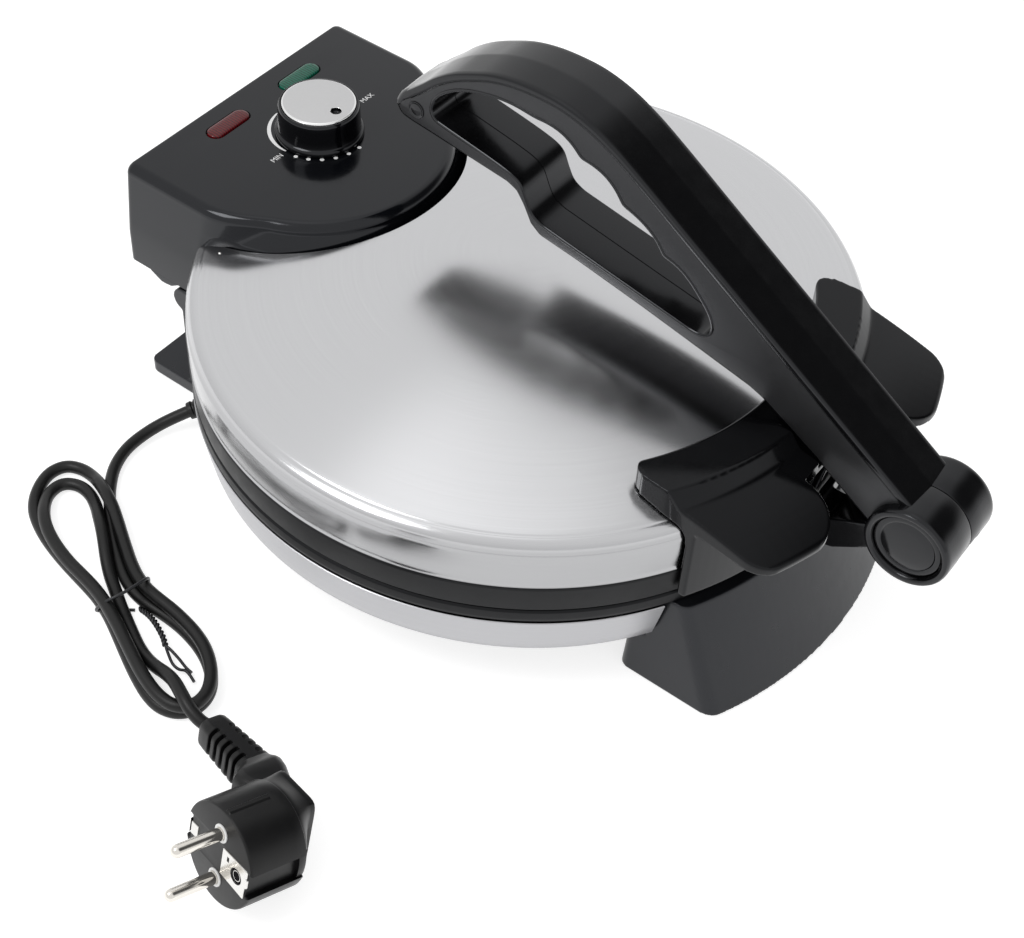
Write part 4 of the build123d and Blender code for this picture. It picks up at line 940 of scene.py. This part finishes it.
op = smooth_loop(op, 2)
WX = 15.75
acc = Acc()
lip_o = [(1.75, 0.0), (1.6, 0.24), (1.3, 0.38), (0.8, 0.40), (0.35, 0.24), (0.08, -0.1), (0.0, -0.7)]
edge_o = [(-1.9, 0.0), (-1.0, -0.22), (-0.35, -0.75), (0.0, -1.6)]
for s in (-1, 1):
    out_in = offset2(outline, edge_o[0][0])
    op_out = offset2(op, lip_o[0][0])
    pts, tris = poly_faces([out_in, op_out])
    acc.add([(s * WX, p[0], p[1]) for p in pts], tris, 1)
    rows = [[(s * (WX + dx), p[0], p[1]) for p in offset2(op, o_)] for o_, dx in lip_o]
    rows.append([(s * 0.28, p[0], p[1]) for p in op])
    rows.append([(s * 0.14, p[0], p[1]) for p in offset2(op, 0.3)])
    rows.append([(0.0, p[0], p[1]) for p in offset2(op, 0.34)])
    v, f = grid(rows, closed_cols=True)
    acc.add(v, f, 0)
    rows = [[(s * (WX + dx), p[0], p[1]) for p in offset2(outline, o_)] for o_, dx in edge_o]
    rows.append([(s * 0.2, p[0], p[1]) for p in outline])
    rows.append([(0.0, p[0], p[1]) for p in offset2(outline, -0.25)])
    v, f = grid(rows, closed_cols=True)
    acc.add(v, f, 0)
web_v, web_f, web_m = acc.v, acc.f, acc.m

# cap: swept along the upper line, with a shallow ridge along its middle
sect = [(-15.3, -4.2), (-15.9, -3.9), (-16.3, -3.4), (-16.42, -2.6), (-16.4, -1.5), (-16.2, -0.75), (-15.8, -0.25), (-15.1, 0.02),
        (-13.6, 0.1), (-7.0, 0.5), (-1.0, 0.86), (0.0, 0.92), (1.0, 0.86), (7.0, 0.5), (13.6, 0.1), (15.1, 0.02),
        (15.8, -0.25), (16.2, -0.75), (16.4, -1.5), (16.42, -2.6), (16.3, -3.4), (15.9, -3.9), (15.3, -4.2)]
nrm_t = normals2(top_line, closed=False)
flip = -1 if nrm_t[25].y < 0 else 1
start = 5
rows = []
for p, n_ in list(zip(top_line, nrm_t))[start:]:
    rows.append([(x, p[0] + n_.x * flip * o_, p[1] + n_.y * flip * o_) for x, o_ in sect])
v, f = grid(rows, closed_cols=True, cap_ends=True)
acc2 = Acc()
acc2.add(v, f, 0)
# insert on the nose
nose = top_line[:start + 2]
nn = nrm_t[:start + 2]
sect_n = [(-15.0, -4.4), (-15.85, -3.4), (-16.0, -2.4), (-15.7, -1.5), (-14.9, -0.6), (-13.4, 0.1), (-12.6, 0.2), (0.0, 0.5),
          (12.6, 0.2), (13.4, 0.1), (14.9, -0.6), (15.7, -1.5), (16.0, -2.4), (15.85, -3.4), (15.0, -4.4)]
rows = []
for k_, (p, n_) in enumerate(zip(nose, nn)):
    sc = 1.0
    rows.append([(x * sc, p[0] + n_.x * flip * o_, p[1] + n_.y * flip * o_) for x, o_ in sect_n])
v, f = grid(rows, closed_cols=True, cap_ends=True)
acc2.add(v, f, 0)

# barrel, both halves with the seam between them and the slot for the yoke
def barrel_half(acc_, s):
    """Outer part full, inner part with the sector left out, closed by flat faces."""
    outer_ = [(10.0, 4.4), (10.0, 20.2), (17.6, 20.2), (19.0, 20.15), (20.1, 19.95), (20.9, 19.4),
              (21.25, 18.5), (21.2, 17.5), (20.9, 16.9), (20.4, 16.5), (19.8, 16.2), (18.3, 15.95), (17.4, 15.8), (17.4, 4.4)]
    n_ = 160
    rws_ = [[(s * x, PY + rr * cos(2 * pi * i / n_), PZ + rr * sin(2 * pi * i / n_)) for x, rr in outer_] for i in range(n_)]
    v_, f_ = grid(rws_, closed_rows=True, closed_cols=True)
    acc_.add(v_, f_, 0)
    inner_ = [(10.3, 15.6), (10.3, 20.2), (0.75, 20.2), (0.3, 20.05), (0.15, 19.7), (0.1, 19.0), (0.1, 15.6)]
    m_ = 92
    rws_ = [[(s * x, PY + rr * cos(radians(184.0 * i / m_)), PZ + rr * sin(radians(184.0 * i / m_))) for x, rr in inner_]
            for i in range(m_ + 1)]
    v_, f_ = grid(rws_, closed_cols=True, cap_ends=True)
    acc_.add(v_, f_, 0)


for s in (-1, 1):
    barrel_half(acc2, s)
av, af, am = web_v, web_f, web_m
whole = Acc()
whole.v, whole.f, whole.m = list(av), list(af), list(am)
whole.add(acc2.v, acc2.f, 0)


def build_ids(name, acc_, body, mats, replaces=(), sharp=32.0):
    """As build(), with a material number for each face."""
    me_ = bpy.data.meshes.new(name)
    me_.from_pydata([W(p) for p in acc_.v], [], acc_.f)
    for m_ in mats:
        me_.materials.append(m_)
    for p, i in zip(me_.polygons, acc_.m):
        p.material_index = i
    bm_ = bmesh.new()
    bm_.from_mesh(me_)
    bmesh.ops.remove_doubles(bm_, verts=bm_.verts, dist=1e-6)
    bmesh.ops.recalc_face_normals(bm_, faces=bm_.faces)
    bm_.to_mesh(me_)
    bm_.free()
    for p in me_.polygons:
        p.use_smooth = True
    me_.set_sharp_from_angle(angle=radians(sharp))
    o_ = bpy.data.objects.new(name, me_)
    bpy.context.scene.collection.objects.link(o_)
    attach(o_, body)
    if replaces:
        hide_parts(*replaces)
    return o_


build_ids("knob_top", KNOB_TOP, "knob", [M_DISC, M_CHAMFER, M_KNOB], ["knob_disc"], 25)
build_ids("lever_shells", whole, "lever", [M_LEVER, M_WEB], ["lever_left", "lever_right"], 30)

# end discs of the barrel and screw caps at the nose


def xlathe(prof_, cy, cz, s, n_=96):
    rws_ = [[(s * x, cy + rr * cos(2 * pi * i / n_), cz + rr * sin(2 * pi * i / n_)) for i in range(n_)] for x, rr in prof_]
    v_, f_ = grid(rws_, closed_cols=True)
    return v_, f_


for nm, s in (("left", -1), ("right", 1)):
    v, f = xlathe([(17.3, 15.75), (18.8, 15.75), (19.2, 15.5), (19.35, 15.0), (19.35, 13.4), (19.2, 12.9), (18.95, 12.6),
                   (19.0, 12.2), (19.3, 11.0), (19.6, 8.0), (19.8, 4.0), (19.85, 0.02)], PY, PZ, s)
    build("barrel_disc_" + nm, v, f, "lever", M_CAP, ["barrel_cap_" + nm], sharp=35)
    v, f = xlathe([(14.6, 4.35), (16.0, 4.35), (16.25, 4.2), (16.3, 3.8), (16.15, 3.5), (16.05, 3.2), (16.15, 2.6), (16.25, 0.02)],
                  56.6, 190.0, s, 48)
    build("nose_disc_" + nm, v, f, "lever", M_CAP, ["nose_cap_" + nm], sharp=35)

# ------------------------------------------------------------------ carried-over parts
remesh("front_bracket", M_BRACKET, 0.00045, 14)
remesh("front_foot", M_FOOT, 0.0006, 9)
remesh("rear_housing", M_FOOT, 0.0006, 4)
remesh("box_floor", M_FOOT, 0.0006, 3)
remesh("cord_gland", M_CORD, 0.0003, 2)
for nm, mt in (("lower_plate", M_PLATE), ("upper_plate", M_PLATE), ("base_pan", M_PAN), ("base_reflector", M_INNER),
               ("upper_reflector", M_INNER), ("lower_heater", M_ELEMENT), ("upper_heater", M_ELEMENT),
               ("hinge_pin_left", M_BRIGHT), ("hinge_pin_right", M_BRIGHT), ("lever_pin", M_BRIGHT),
               ("knob_shaft", M_BRIGHT), ("hinge_arm_left", M_BRIGHT), ("hinge_arm_right", M_BRIGHT),
               ("thermostat", M_CER), ("lamp_holder_red", M_CER), ("lamp_holder_green", M_CER),
               ("terminal_block", M_CER), ("pad_front_left", M_PAD), ("pad_front_right", M_PAD),
               ("pad_rear_left", M_PAD), ("pad_rear_right", M_PAD)):
    give(nm, mt)

# ------------------------------------------------------------------ plug (millimetres about its face)
PF = Vector((-282.6, -33.7, 31.6))
P3 = Vector((-0.922, 0.251, 0.296)).normalized()
P1 = Vector((0.22, 0.966, -0.134))
P1 = (P1 - P3 * P1.dot(P3)).normalized()
P2 = P3.cross(P1)
PN = P1.copy()
PK = PN.cross(P2) if PN.cross(P2).z > 0 else P2.cross(PN)
PN0 = PF - P3 * 40.8 + P1 * 10.2


def PL(v):
    q = PF + P1 * v[0] + P2 * v[1] + P3 * v[2]
    return (q.x * 0.001, q.y * 0.001, q.z * 0.001)


def FM(v):
    return (v[0] * 0.001, v[1] * 0.001, v[2] * 0.001)


def rrect(w_, h_, r_, n_=8):
    out_ = []
    for cx_, cy_, a_0 in ((w_ / 2 - r_, h_ / 2 - r_, 0), (-w_ / 2 + r_, h_ / 2 - r_, 90), (-w_ / 2 + r_, -h_ / 2 + r_, 180),
                          (w_ / 2 - r_, -h_ / 2 + r_, 270)):
        for i_ in range(n_ + 1):
            a_1 = radians(a_0 + 90.0 * i_ / n_)
            out_.append((cx_ + r_ * cos(a_1), cy_ + r_ * sin(a_1)))
    return out_


PR = 23.0
ol = []
for sgn in (1, -1):
    a_n = degrees(atan2(5.9, sqrt(PR * PR - 5.9 * 5.9)))
    start_ = a_n if sgn == 1 else 180 + a_n
    for i in range(0, 61):
        an = radians(start_ + (180 - 2 * a_n) * i / 60.0)
        ol.append((PR * cos(an), PR * sin(an)))
    base_x = -19.9 if sgn == 1 else 19.9
    for t in (0.35, 0.7, 1.0):
        ol.append((base_x * (t) + (-sgn) * 22.2 * (1 - t), sgn * 5.9))
    for t in (0.25, 0.5, 0.75):
        ol.append((base_x, sgn * 5.9 * (1 - 2 * t)))
    for t in (1.0, 0.7, 0.35):
        ol.append((base_x * (t) + (-sgn) * 22.2 * (1 - t), -sgn * 5.9))
ins = Acc()
rows = []
for o_, z_ in ((1.0, 0.0), (0.4, -0.18), (0.1, -0.6), (0.0, -1.2), (0.0, -8.0), (0.0, -16.0), (0.0, -22.0), (0.0, -26.6), (0.25, -27.2), (0.8, -27.6), (1.6, -27.8)):
    rows.append([(p[0], p[1], z_) for p in offset2(ol, -o_)])
v, f = grid(rows, closed_cols=True)
ins.add(v, f)
pts, tris = poly_faces([[(p[0], p[1]) for p in rows[0]]])
ins.add([(p[0], p[1], 0.0) for p in pts], tris)
pts, tris = poly_faces([[(p[0], p[1]) for p in rows[-1]]])
ins.add([(p[0], p[1], -27.8) for p in pts], tris)
# moulded rib lines on the barrel of the plug, either side of its neck
for sy_ in (-1, 1):
    rows = []
    for z_ in (-0.8, -1.4, -8.0, -14.0, -20.6, -21.2):
        g_ = 0.0 if z_ in (-0.8, -21.2) else 1.0
        rows.append([(-0.6 + dx_, sy_ * (22.7 + dy_ * g_), z_) for dx_, dy_ in ((-1.8, 0.0), (-0.9, 0.9), (0.9, 0.9), (1.8, 0.0))])
    v, f = grid(rows, cap_ends=False)
    ins.add(v, f)
# grip flange with chamfered edges
rows = []
for z_, t_ in ((-24.0, 0.0), (-26.0, 0.0), (-28.0, 0.06), (-29.5, 0.2), (-31.0, 0.38), (-33.0, 0.62), (-35.0, 0.85), (-36.3, 0.97),
               (-36.9, 1.0), (-38.4, 1.0), (-39.0, 0.97), (-39.3, 0.9)):
    ring = []
    for i in range(96):
        an = 2 * pi * i / 96
        ca, sa = cos(an), sin(an)
        # square with rounded corners, seen from a point a little off its middle
        k_ = 1.0 / ((abs(ca) / 12.8) ** 9 + (abs(sa) / 18.5) ** 9) ** (1 / 9.0)
        e_ = 1.0 if z_ > -38.7 else (0.985 if z_ > -39.2 else 0.95)
        qx, qy = 3.2 + k_ * ca * e_, k_ * sa * e_
        cx_, cy_ = 22.2 * ca, 22.6 * sa
        u_ = min(1.0, t_) if z_ > -38.7 else 1.0
        ring.append((cx_ + (qx - cx_) * u_, cy_ + (qy - cy_) * u_, z_))
    rows.append(ring)
v, f = grid(rows, closed_cols=True, cap_ends=True)
ins.add(v, f)
build("plug_housing", ins.v, ins.f, "base", M_PLUG, ["plug_body"], sharp=28, conv=PL)

# neck and slotted strain relief


def along(t_, u_, w_):
    q = PN0 + PN * t_ + P2 * u_ + PK * w_
    return (q.x, q.y, q.z)


nk = Acc()
rows = []
for t_, w_, h_, r_, k_ in ((-12.0, 14.0, 5.5, 2.2, 4.05), (-8.0, 22.0, 8.5, 3.2, 4.55), (-2.0, 26.0, 13.5, 4.2, 5.05),
                           (6.0, 27.0, 20.0, 4.8, 5.3), (12.0, 26.6, 24.4, 5.0, 5.0), (17.0, 25.4, 25.2, 5.0, 4.2),
                           (19.6, 23.4, 23.1, 5.0, 2.95), (22.0, 20.2, 19.3, 4.8, 1.15), (25.0, 17.6, 16.8, 4.6, 0.0)):
    rows.append([along(t_, p[0], p[1] + k_) for p in rrect(w_, h_, r_, 6)])
v, f = grid(rows, closed_cols=True, cap_ends=True)
nk.add(v, f)
build("plug_neck", nk.v, nk.f, "base", M_PLUG, sharp=28, conv=FM)

rl = Acc()
rows = []


def relief_ring(t_, k_, inset_=0.0):
    u_ = (t_ - 25.0) / 32.8
    w_, h_ = 17.4 - 3.2 * u_ - 2 * inset_, 16.8 - 3.2 * u_ - 2 * inset_
    ring = []
    pts_ = rrect(w_, h_, max(1.0, 4.4 - 0.8 * u_), 6)
    q_ = len(pts_) // 2
    pts_ = pts_[:q_] + [(-w_ / 2, c_) for c_ in (3.0, 2.75, -2.75, -3.0)] + pts_[q_:] + [(w_ / 2, c_) for c_ in (-3.0, -2.75, 2.75, 3.0)]
    for p in pts_:
        if abs(p[1]) < 2.9:
            ring.append(along(t_, p[0], p[1]))
        else:
            sg_ = 1.0 if p[1] > 0 else -1.0
            ring.append(along(t_, p[0] * k_, sg_ * max(abs(p[1]) * k_, 3.0)))
    return ring


t_ = 25.0
rows.append(relief_ring(25.0, 1.0))
for k in range(5):
    s0 = 27.4 + 4.9 * k
    for tt, kk in ((s0 - 0.35, 1.0), (s0, 0.97), (s0 + 0.12, 0.62), (s0 + 2.1, 0.60), (s0 + 2.22, 0.97), (s0 + 2.6, 1.0)):
        rows.append(relief_ring(tt, kk))
rows += [relief_ring(52.6, 1.0), relief_ring(56.0, 1.0, 0.1), relief_ring(57.2, 1.0, 0.5), relief_ring(57.8, 1.0, 1.2)]
v, f = grid(rows, closed_cols=True, cap_ends=True)
rl.add(v, f)
build("plug_strain_relief", rl.v, rl.f, "base", M_PLUG, ["plug_relief"], sharp=26, conv=FM)

# pins, their white collars, the earth plate and the earth clips
M_COLLAR = plastic("collar_plastic", srgb(215, 215, 214), 0.4, grain=0.1, grain_scale=3000)
# near-black, almost unreflecting plastic for the earth hole: painted shade
M_BORE_SHADE = plastic("bore_painted_shade", srgb(3, 3, 3), 0.6, grain=0.1, grain_scale=3000, spec=0.05)
for nm, sy_ in (("plug_pin_1", 1), ("plug_pin_2", -1)):
    pp = [(2.81, -1.0), (2.81, 8.0), (2.81, 20.6)] + [(2.81 * cos(radians(a)), 20.75 + 2.75 * sin(radians(a))) for a in range(10, 90, 10)] + \
        [(0.02, 23.5)]
    rows = [[(r_ * cos(2 * pi * i / 40), sy_ * 11.8 + r_ * sin(2 * pi * i / 40), z_) for i in range(40)] for r_, z_ in pp]
    v, f = grid(rows, closed_cols=True)
    build(nm + "_metal", v, f, "base", M_NICKEL, [nm], sharp=40, conv=PL)
    rows = [[(r_ * cos(2 * pi * i / 40), sy_ * 11.8 + r_ * sin(2 * pi * i / 40), z_) for i in range(40)]
            for r_, z_ in ((2.85, -0.3), (2.85, 0.35), (3.0, 0.5), (3.9, 0.5), (4.1, 0.4), (4.15, 0.0), (4.15, -0.3))]
    v, f = grid(rows, closed_cols=True)
    build(nm + "_collar", v, f, "base", M_COLLAR, sharp=40, conv=PL)


def plate(name, outline_, z0_, z1_, mat_, rep_=(), holes_=()):
    ac = Acc()
    if sum(a[0] * b[1] - b[0] * a[1] for a, b in zip(outline_, outline_[1:] + outline_[:1])) < 0:
        outline_ = outline_[::-1]
    inn = offset2(outline_, -0.25)
    pts_, tris_ = poly_faces([inn] + list(holes_))
    ac.add([(p[0], p[1], z1_) for p in pts_], tris_)
    rows_ = [[(p[0], p[1], z1_) for p in inn], [(p[0], p[1], z1_ - 0.12) for p in offset2(outline_, -0.07)],
             [(p[0], p[1], z1_ - 0.3) for p in outline_], [(p[0], p[1], z0_) for p in outline_]]
    v_, f_ = grid(rows_, closed_cols=True)
    ac.add(v_, f_)
    for h_ in holes_:
        rows_ = [[(p[0], p[1], z1_) for p in h_], [(p[0], p[1], z0_ + 0.02) for p in h_]]
        v_, f_ = grid(rows_, closed_cols=True)
        ac.add(v_, f_)
    return build(name, ac.v, ac.f, "base", mat_, rep_, sharp=30, conv=PL)


hole_r = [(-13.4 + 3.7 * cos(2 * pi * i / 32), 3.7 * sin(2 * pi * i / 32)) for i in range(32)]
slot_r = [(-7.9, -5.0), (-6.5, -5.0), (-6.5, -2.6), (-7.9, -2.6)]
po = round_poly([(-3.0, -6.9), (-3.0, 6.6), (-19.4, 7.4), (-19.6, 1.6), (-20.6, 1.0), (-20.6, -3.0), (-19.6, -3.6), (-19.6, -7.3)], 0.5, 3)
plate("earth_plate", po, -0.2, 0.55, M_BRIGHT, ["plug_earth_2"], [hole_r, slot_r])
# a flat near-black disc in the earth hole: painted shade for the depth of the bore
plate("earth_bore", [(-13.4 + 3.65 * cos(2 * pi * i / 32), 3.65 * sin(2 * pi * i / 32)) for i in range(32)], -0.3, 0.06, M_BORE_SHADE)
rows = [[(-13.4 + r_ * cos(2 * pi * i / 32), r_ * sin(2 * pi * i / 32), z_) for i in range(32)]
        for r_, z_ in ((2.45, 0.05), (2.45, 0.16), (2.3, 0.2), (2.15, 0.16), (2.15, 0.05))]
v, f = grid(rows, closed_cols=True)
build("earth_bore_ring", v, f, "base", M_BRIGHT, sharp=40, conv=PL)
pl_ = round_poly([(14.6, -3.5), (19.3, -3.3), (19.3, 2.8), (14.6, 2.6)], 0.4, 3)
plate("earth_clip_front", pl_, -0.2, 0.45, M_BRIGHT, ["plug_earth_1"])
# the front clip carries on down its side channel
for nm, sx_ in (("a", 1),):
    rows = []
    for z_, dx_ in ((0.45, 0.0), (0.2, 0.5), (-0.6, 0.75), (-5.0, 0.85), (-11.0, 0.9), (-12.0, 0.5), (-12.4, 0.0)):
        x_ = sx_ * (19.95 + dx_)
        rows.append([(x_, -3.6, z_), (x_ + sx_ * 0.0, 0.0, z_), (x_, 3.6, z_)])
    v, f = grid(rows)
    build("earth_clip_side_" + nm, v, f, "base", M_BRIGHT, sharp=30, conv=PL)

# ------------------------------------------------------------------ wire tie round the hank


def wire(pts_, rad_, n_=10, step_=0.7):
    """Round tube along a smooth line through the points."""
    path_ = catmull3(pts_, step_)
    ring_up = Vector((0, 0, 1))
    rows_ = []
    for i_, p in enumerate(path_):
        a_ = path_[max(0, i_ - 1)]
        b_ = path_[min(len(path_) - 1, i_ + 1)]
        d_ = (b_ - a_).normalized()
        u_ = ring_up - d_ * ring_up.dot(d_)
        if u_.length < 1e-3:
            u_ = Vector((1, 0, 0)) - d_ * d_.x
        u_.normalize()
        ring_up = u_
        w_ = d_.cross(u_)
        rows_.append([tuple(p + (u_ * cos(2 * pi * k_ / n_) + w_ * sin(2 * pi * k_ / n_)) * rad_) for k_ in range(n_)])
    return grid(rows_, closed_cols=True, cap_ends=True)


def catmull3(pts_, step_):
    P_ = [Vector(p) for p in pts_]
    out_ = []
    for i_ in range(len(P_) - 1):
        p1, p2 = P_[i_], P_[i_ + 1]
        p0 = P_[i_ - 1] if i_ else p1 * 2 - p2
        p3 = P_[i_ + 2] if i_ + 2 < len(P_) else p2 * 2 - p1
        m_ = max(2, int((p2 - p1).length / step_))
        for k_ in range(m_):
            t = k_ / m_
            out_.append(0.5 * ((2 * p1) + (p2 - p0) * t + (2 * p0 - 5 * p1 + 4 * p2 - p3) * t * t + (3 * p1 - p0 - 3 * p2 + p3) * t ** 3))
    out_.append(P_[-1])
    return out_


tie = Acc()
loop_a = [(-199.4, 98.6, 0.9), (-206.5, 107.6, 0.9), (-210.4, 111.0, 1.4), (-211.8, 110.6, 4.2), (-211.2, 108.0, 8.6),
          (-209.0, 104.8, 12.6), (-205.4, 102.4, 14.2), (-200.6, 100.9, 14.6), (-195.0, 100.1, 14.4), (-189.8, 100.0, 13.2),
          (-186.6, 101.4, 9.8), (-186.2, 102.4, 5.0), (-187.4, 102.4, 1.6), (-191.0, 101.4, 0.9), (-196.8, 97.6, 0.9)]
v, f = wire(loop_a, 0.8)
tie.add(v, f)
tail = [(-197.4, 97.0, 1.2), (-198.6, 90.6, 3.2), (-200.2, 85.4, 4.4), (-202.2, 80.2, 4.6), (-204.4, 75.4, 4.4), (-206.9, 71.6, 4.2)]
tp = catmull3(tail, 0.5)
for ph in (0.0, pi):
    hp = []
    for i_, p in enumerate(tp):
        d_ = (tp[min(len(tp) - 1, i_ + 1)] - tp[max(0, i_ - 1)]).normalized()
        u_ = Vector((0, 0, 1)) - d_ * d_.z
        u_.normalize()
        w_ = d_.cross(u_)
        an = ph + 2 * pi * i_ * 0.5 / 4.6
        hp.append(tuple(p + (u_ * cos(an) + w_ * sin(an)) * 0.72))
    v, f = wire(hp, 0.78, 10, 0.6)
    tie.add(v, f)
for pts_ in ([(-206.9, 71.6, 4.2), (-209.2, 67.8, 3.6), (-211.9, 62.4, 3.2), (-212.2, 58.4, 2.9), (-210.8, 55.6, 2.7), (-211.2, 52.4, 2.2),
              (-212.4, 48.9, 1.7)],
             [(-206.9, 71.6, 4.2), (-207.2, 67.4, 3.8), (-208.2, 62.0, 3.4), (-209.6, 56.4, 3.1), (-210.0, 52.6, 2.9)]):
    v, f = wire(pts_, 0.72)
    tie.add(v, f)
build("wire_tie", tie.v, tie.f, "base", M_TIE, ["twist_tie"], sharp=50, conv=FM)

# ------------------------------------------------------------------ floor, world, lights
fm = Mat("floor_paper")
n1 = fm.noise(3.0, 2.0)
c1 = fm.mixc(n1, "Fac", (0.50, 0.50, 0.50), (0.54, 0.54, 0.54))
fm.nt.links.new(c1.outputs[2], fm.bs.inputs["Base Color"])
fm.set(Roughness=0.9, Specular_IOR_Level=0.1)
fm.bs.inputs["Emission Color"].default_value = (1, 1, 1, 1)
fm.bs.inputs["Emission Strength"].default_value = 0.74
fme = bpy.data.meshes.new("floor")
fme.from_pydata([(-6, -6, 0), (6, -6, 0), (6, 6, 0), (-6, 6, 0)], [], [(0, 1, 2, 3)])
fme.materials.append(fm.m)
floor = bpy.data.objects.new("floor", fme)
bpy.context.scene.collection.objects.link(floor)

wd = bpy.data.worlds.new("studio")
bpy.context.scene.world = wd
wd.use_nodes = True
wt = wd.node_tree
wt.nodes.clear()
wo = wt.nodes.new("ShaderNodeOutputWorld")
bg = wt.nodes.new("ShaderNodeBackground")
wt.links.new(bg.outputs[0], wo.inputs[0])
tc = wt.nodes.new("ShaderNodeTexCoord")
nv = wt.nodes.new("ShaderNodeVectorMath")
nv.operation = "NORMALIZE"
wt.links.new(tc.outputs["Generated"], nv.inputs[0])


def blob(az, el, inner_deg, outer_deg, val_in, val_out):
    """Smooth round patch of the sky: val_in inside, val_out outside."""
    d = wt.nodes.new("ShaderNodeVectorMath")
    d.operation = "DOT_PRODUCT"
    wt.links.new(nv.outputs[0], d.inputs[0])
    d.inputs[1].default_value = (cos(radians(az)) * cos(radians(el)), sin(radians(az)) * cos(radians(el)), sin(radians(el)))
    mr = wt.nodes.new("ShaderNodeMapRange")
    mr.interpolation_type = "SMOOTHSTEP"
    mr.inputs["From Min"].default_value = cos(radians(outer_deg))
    mr.inputs["From Max"].default_value = cos(radians(inner_deg))
    mr.inputs["To Min"].default_value = val_out
    mr.inputs["To Max"].default_value = val_in
    wt.links.new(d.outputs["Value"], mr.inputs["Value"])
    return mr


def mul(a, b):
    m_ = wt.nodes.new("ShaderNodeMath")
    m_.operation = "MULTIPLY"
    wt.links.new(a.outputs[0], m_.inputs[0])
    wt.links.new(b.outputs[0], m_.inputs[1])
    return m_


b1 = blob(-44, 35, 13, 34, 0.08, 1.0)
b2 = blob(-5, 68, 6, 24, 0.82, 1.0)
b3 = blob(45, 76, 3, 19, 1.5, 1.0)
tot = mul(mul(b1, b2), b3)
bg.inputs["Color"].default_value = (1.0, 1.0, 1.0, 1)
st = wt.nodes.new("ShaderNodeMath")
st.operation = "MULTIPLY"
st.inputs[1].default_value = 0.92
wt.links.new(tot.outputs[0], st.inputs[0])
wt.links.new(st.outputs[0], bg.inputs["Strength"])


def area(name, loc, target, size, energy, size_y=None):
    ld = bpy.data.lights.new(name, "AREA")
    ld.shape = "RECTANGLE"
    ld.size = size
    ld.size_y = size_y or size
    ld.energy = energy
    lo = bpy.data.objects.new(name, ld)
    bpy.context.scene.collection.objects.link(lo)
    lo.location = loc
    d = Vector(target) - Vector(loc)
    lo.rotation_euler = d.to_track_quat("-Z", "Y").to_euler()
    return lo


area("key", (-0.9, 0.5, 1.5), (0, 0, 0.1), 0.7, 9.0)
sc = bpy.context.scene
sc.view_settings.view_transform = "Standard"
sc.view_settings.look = "None"
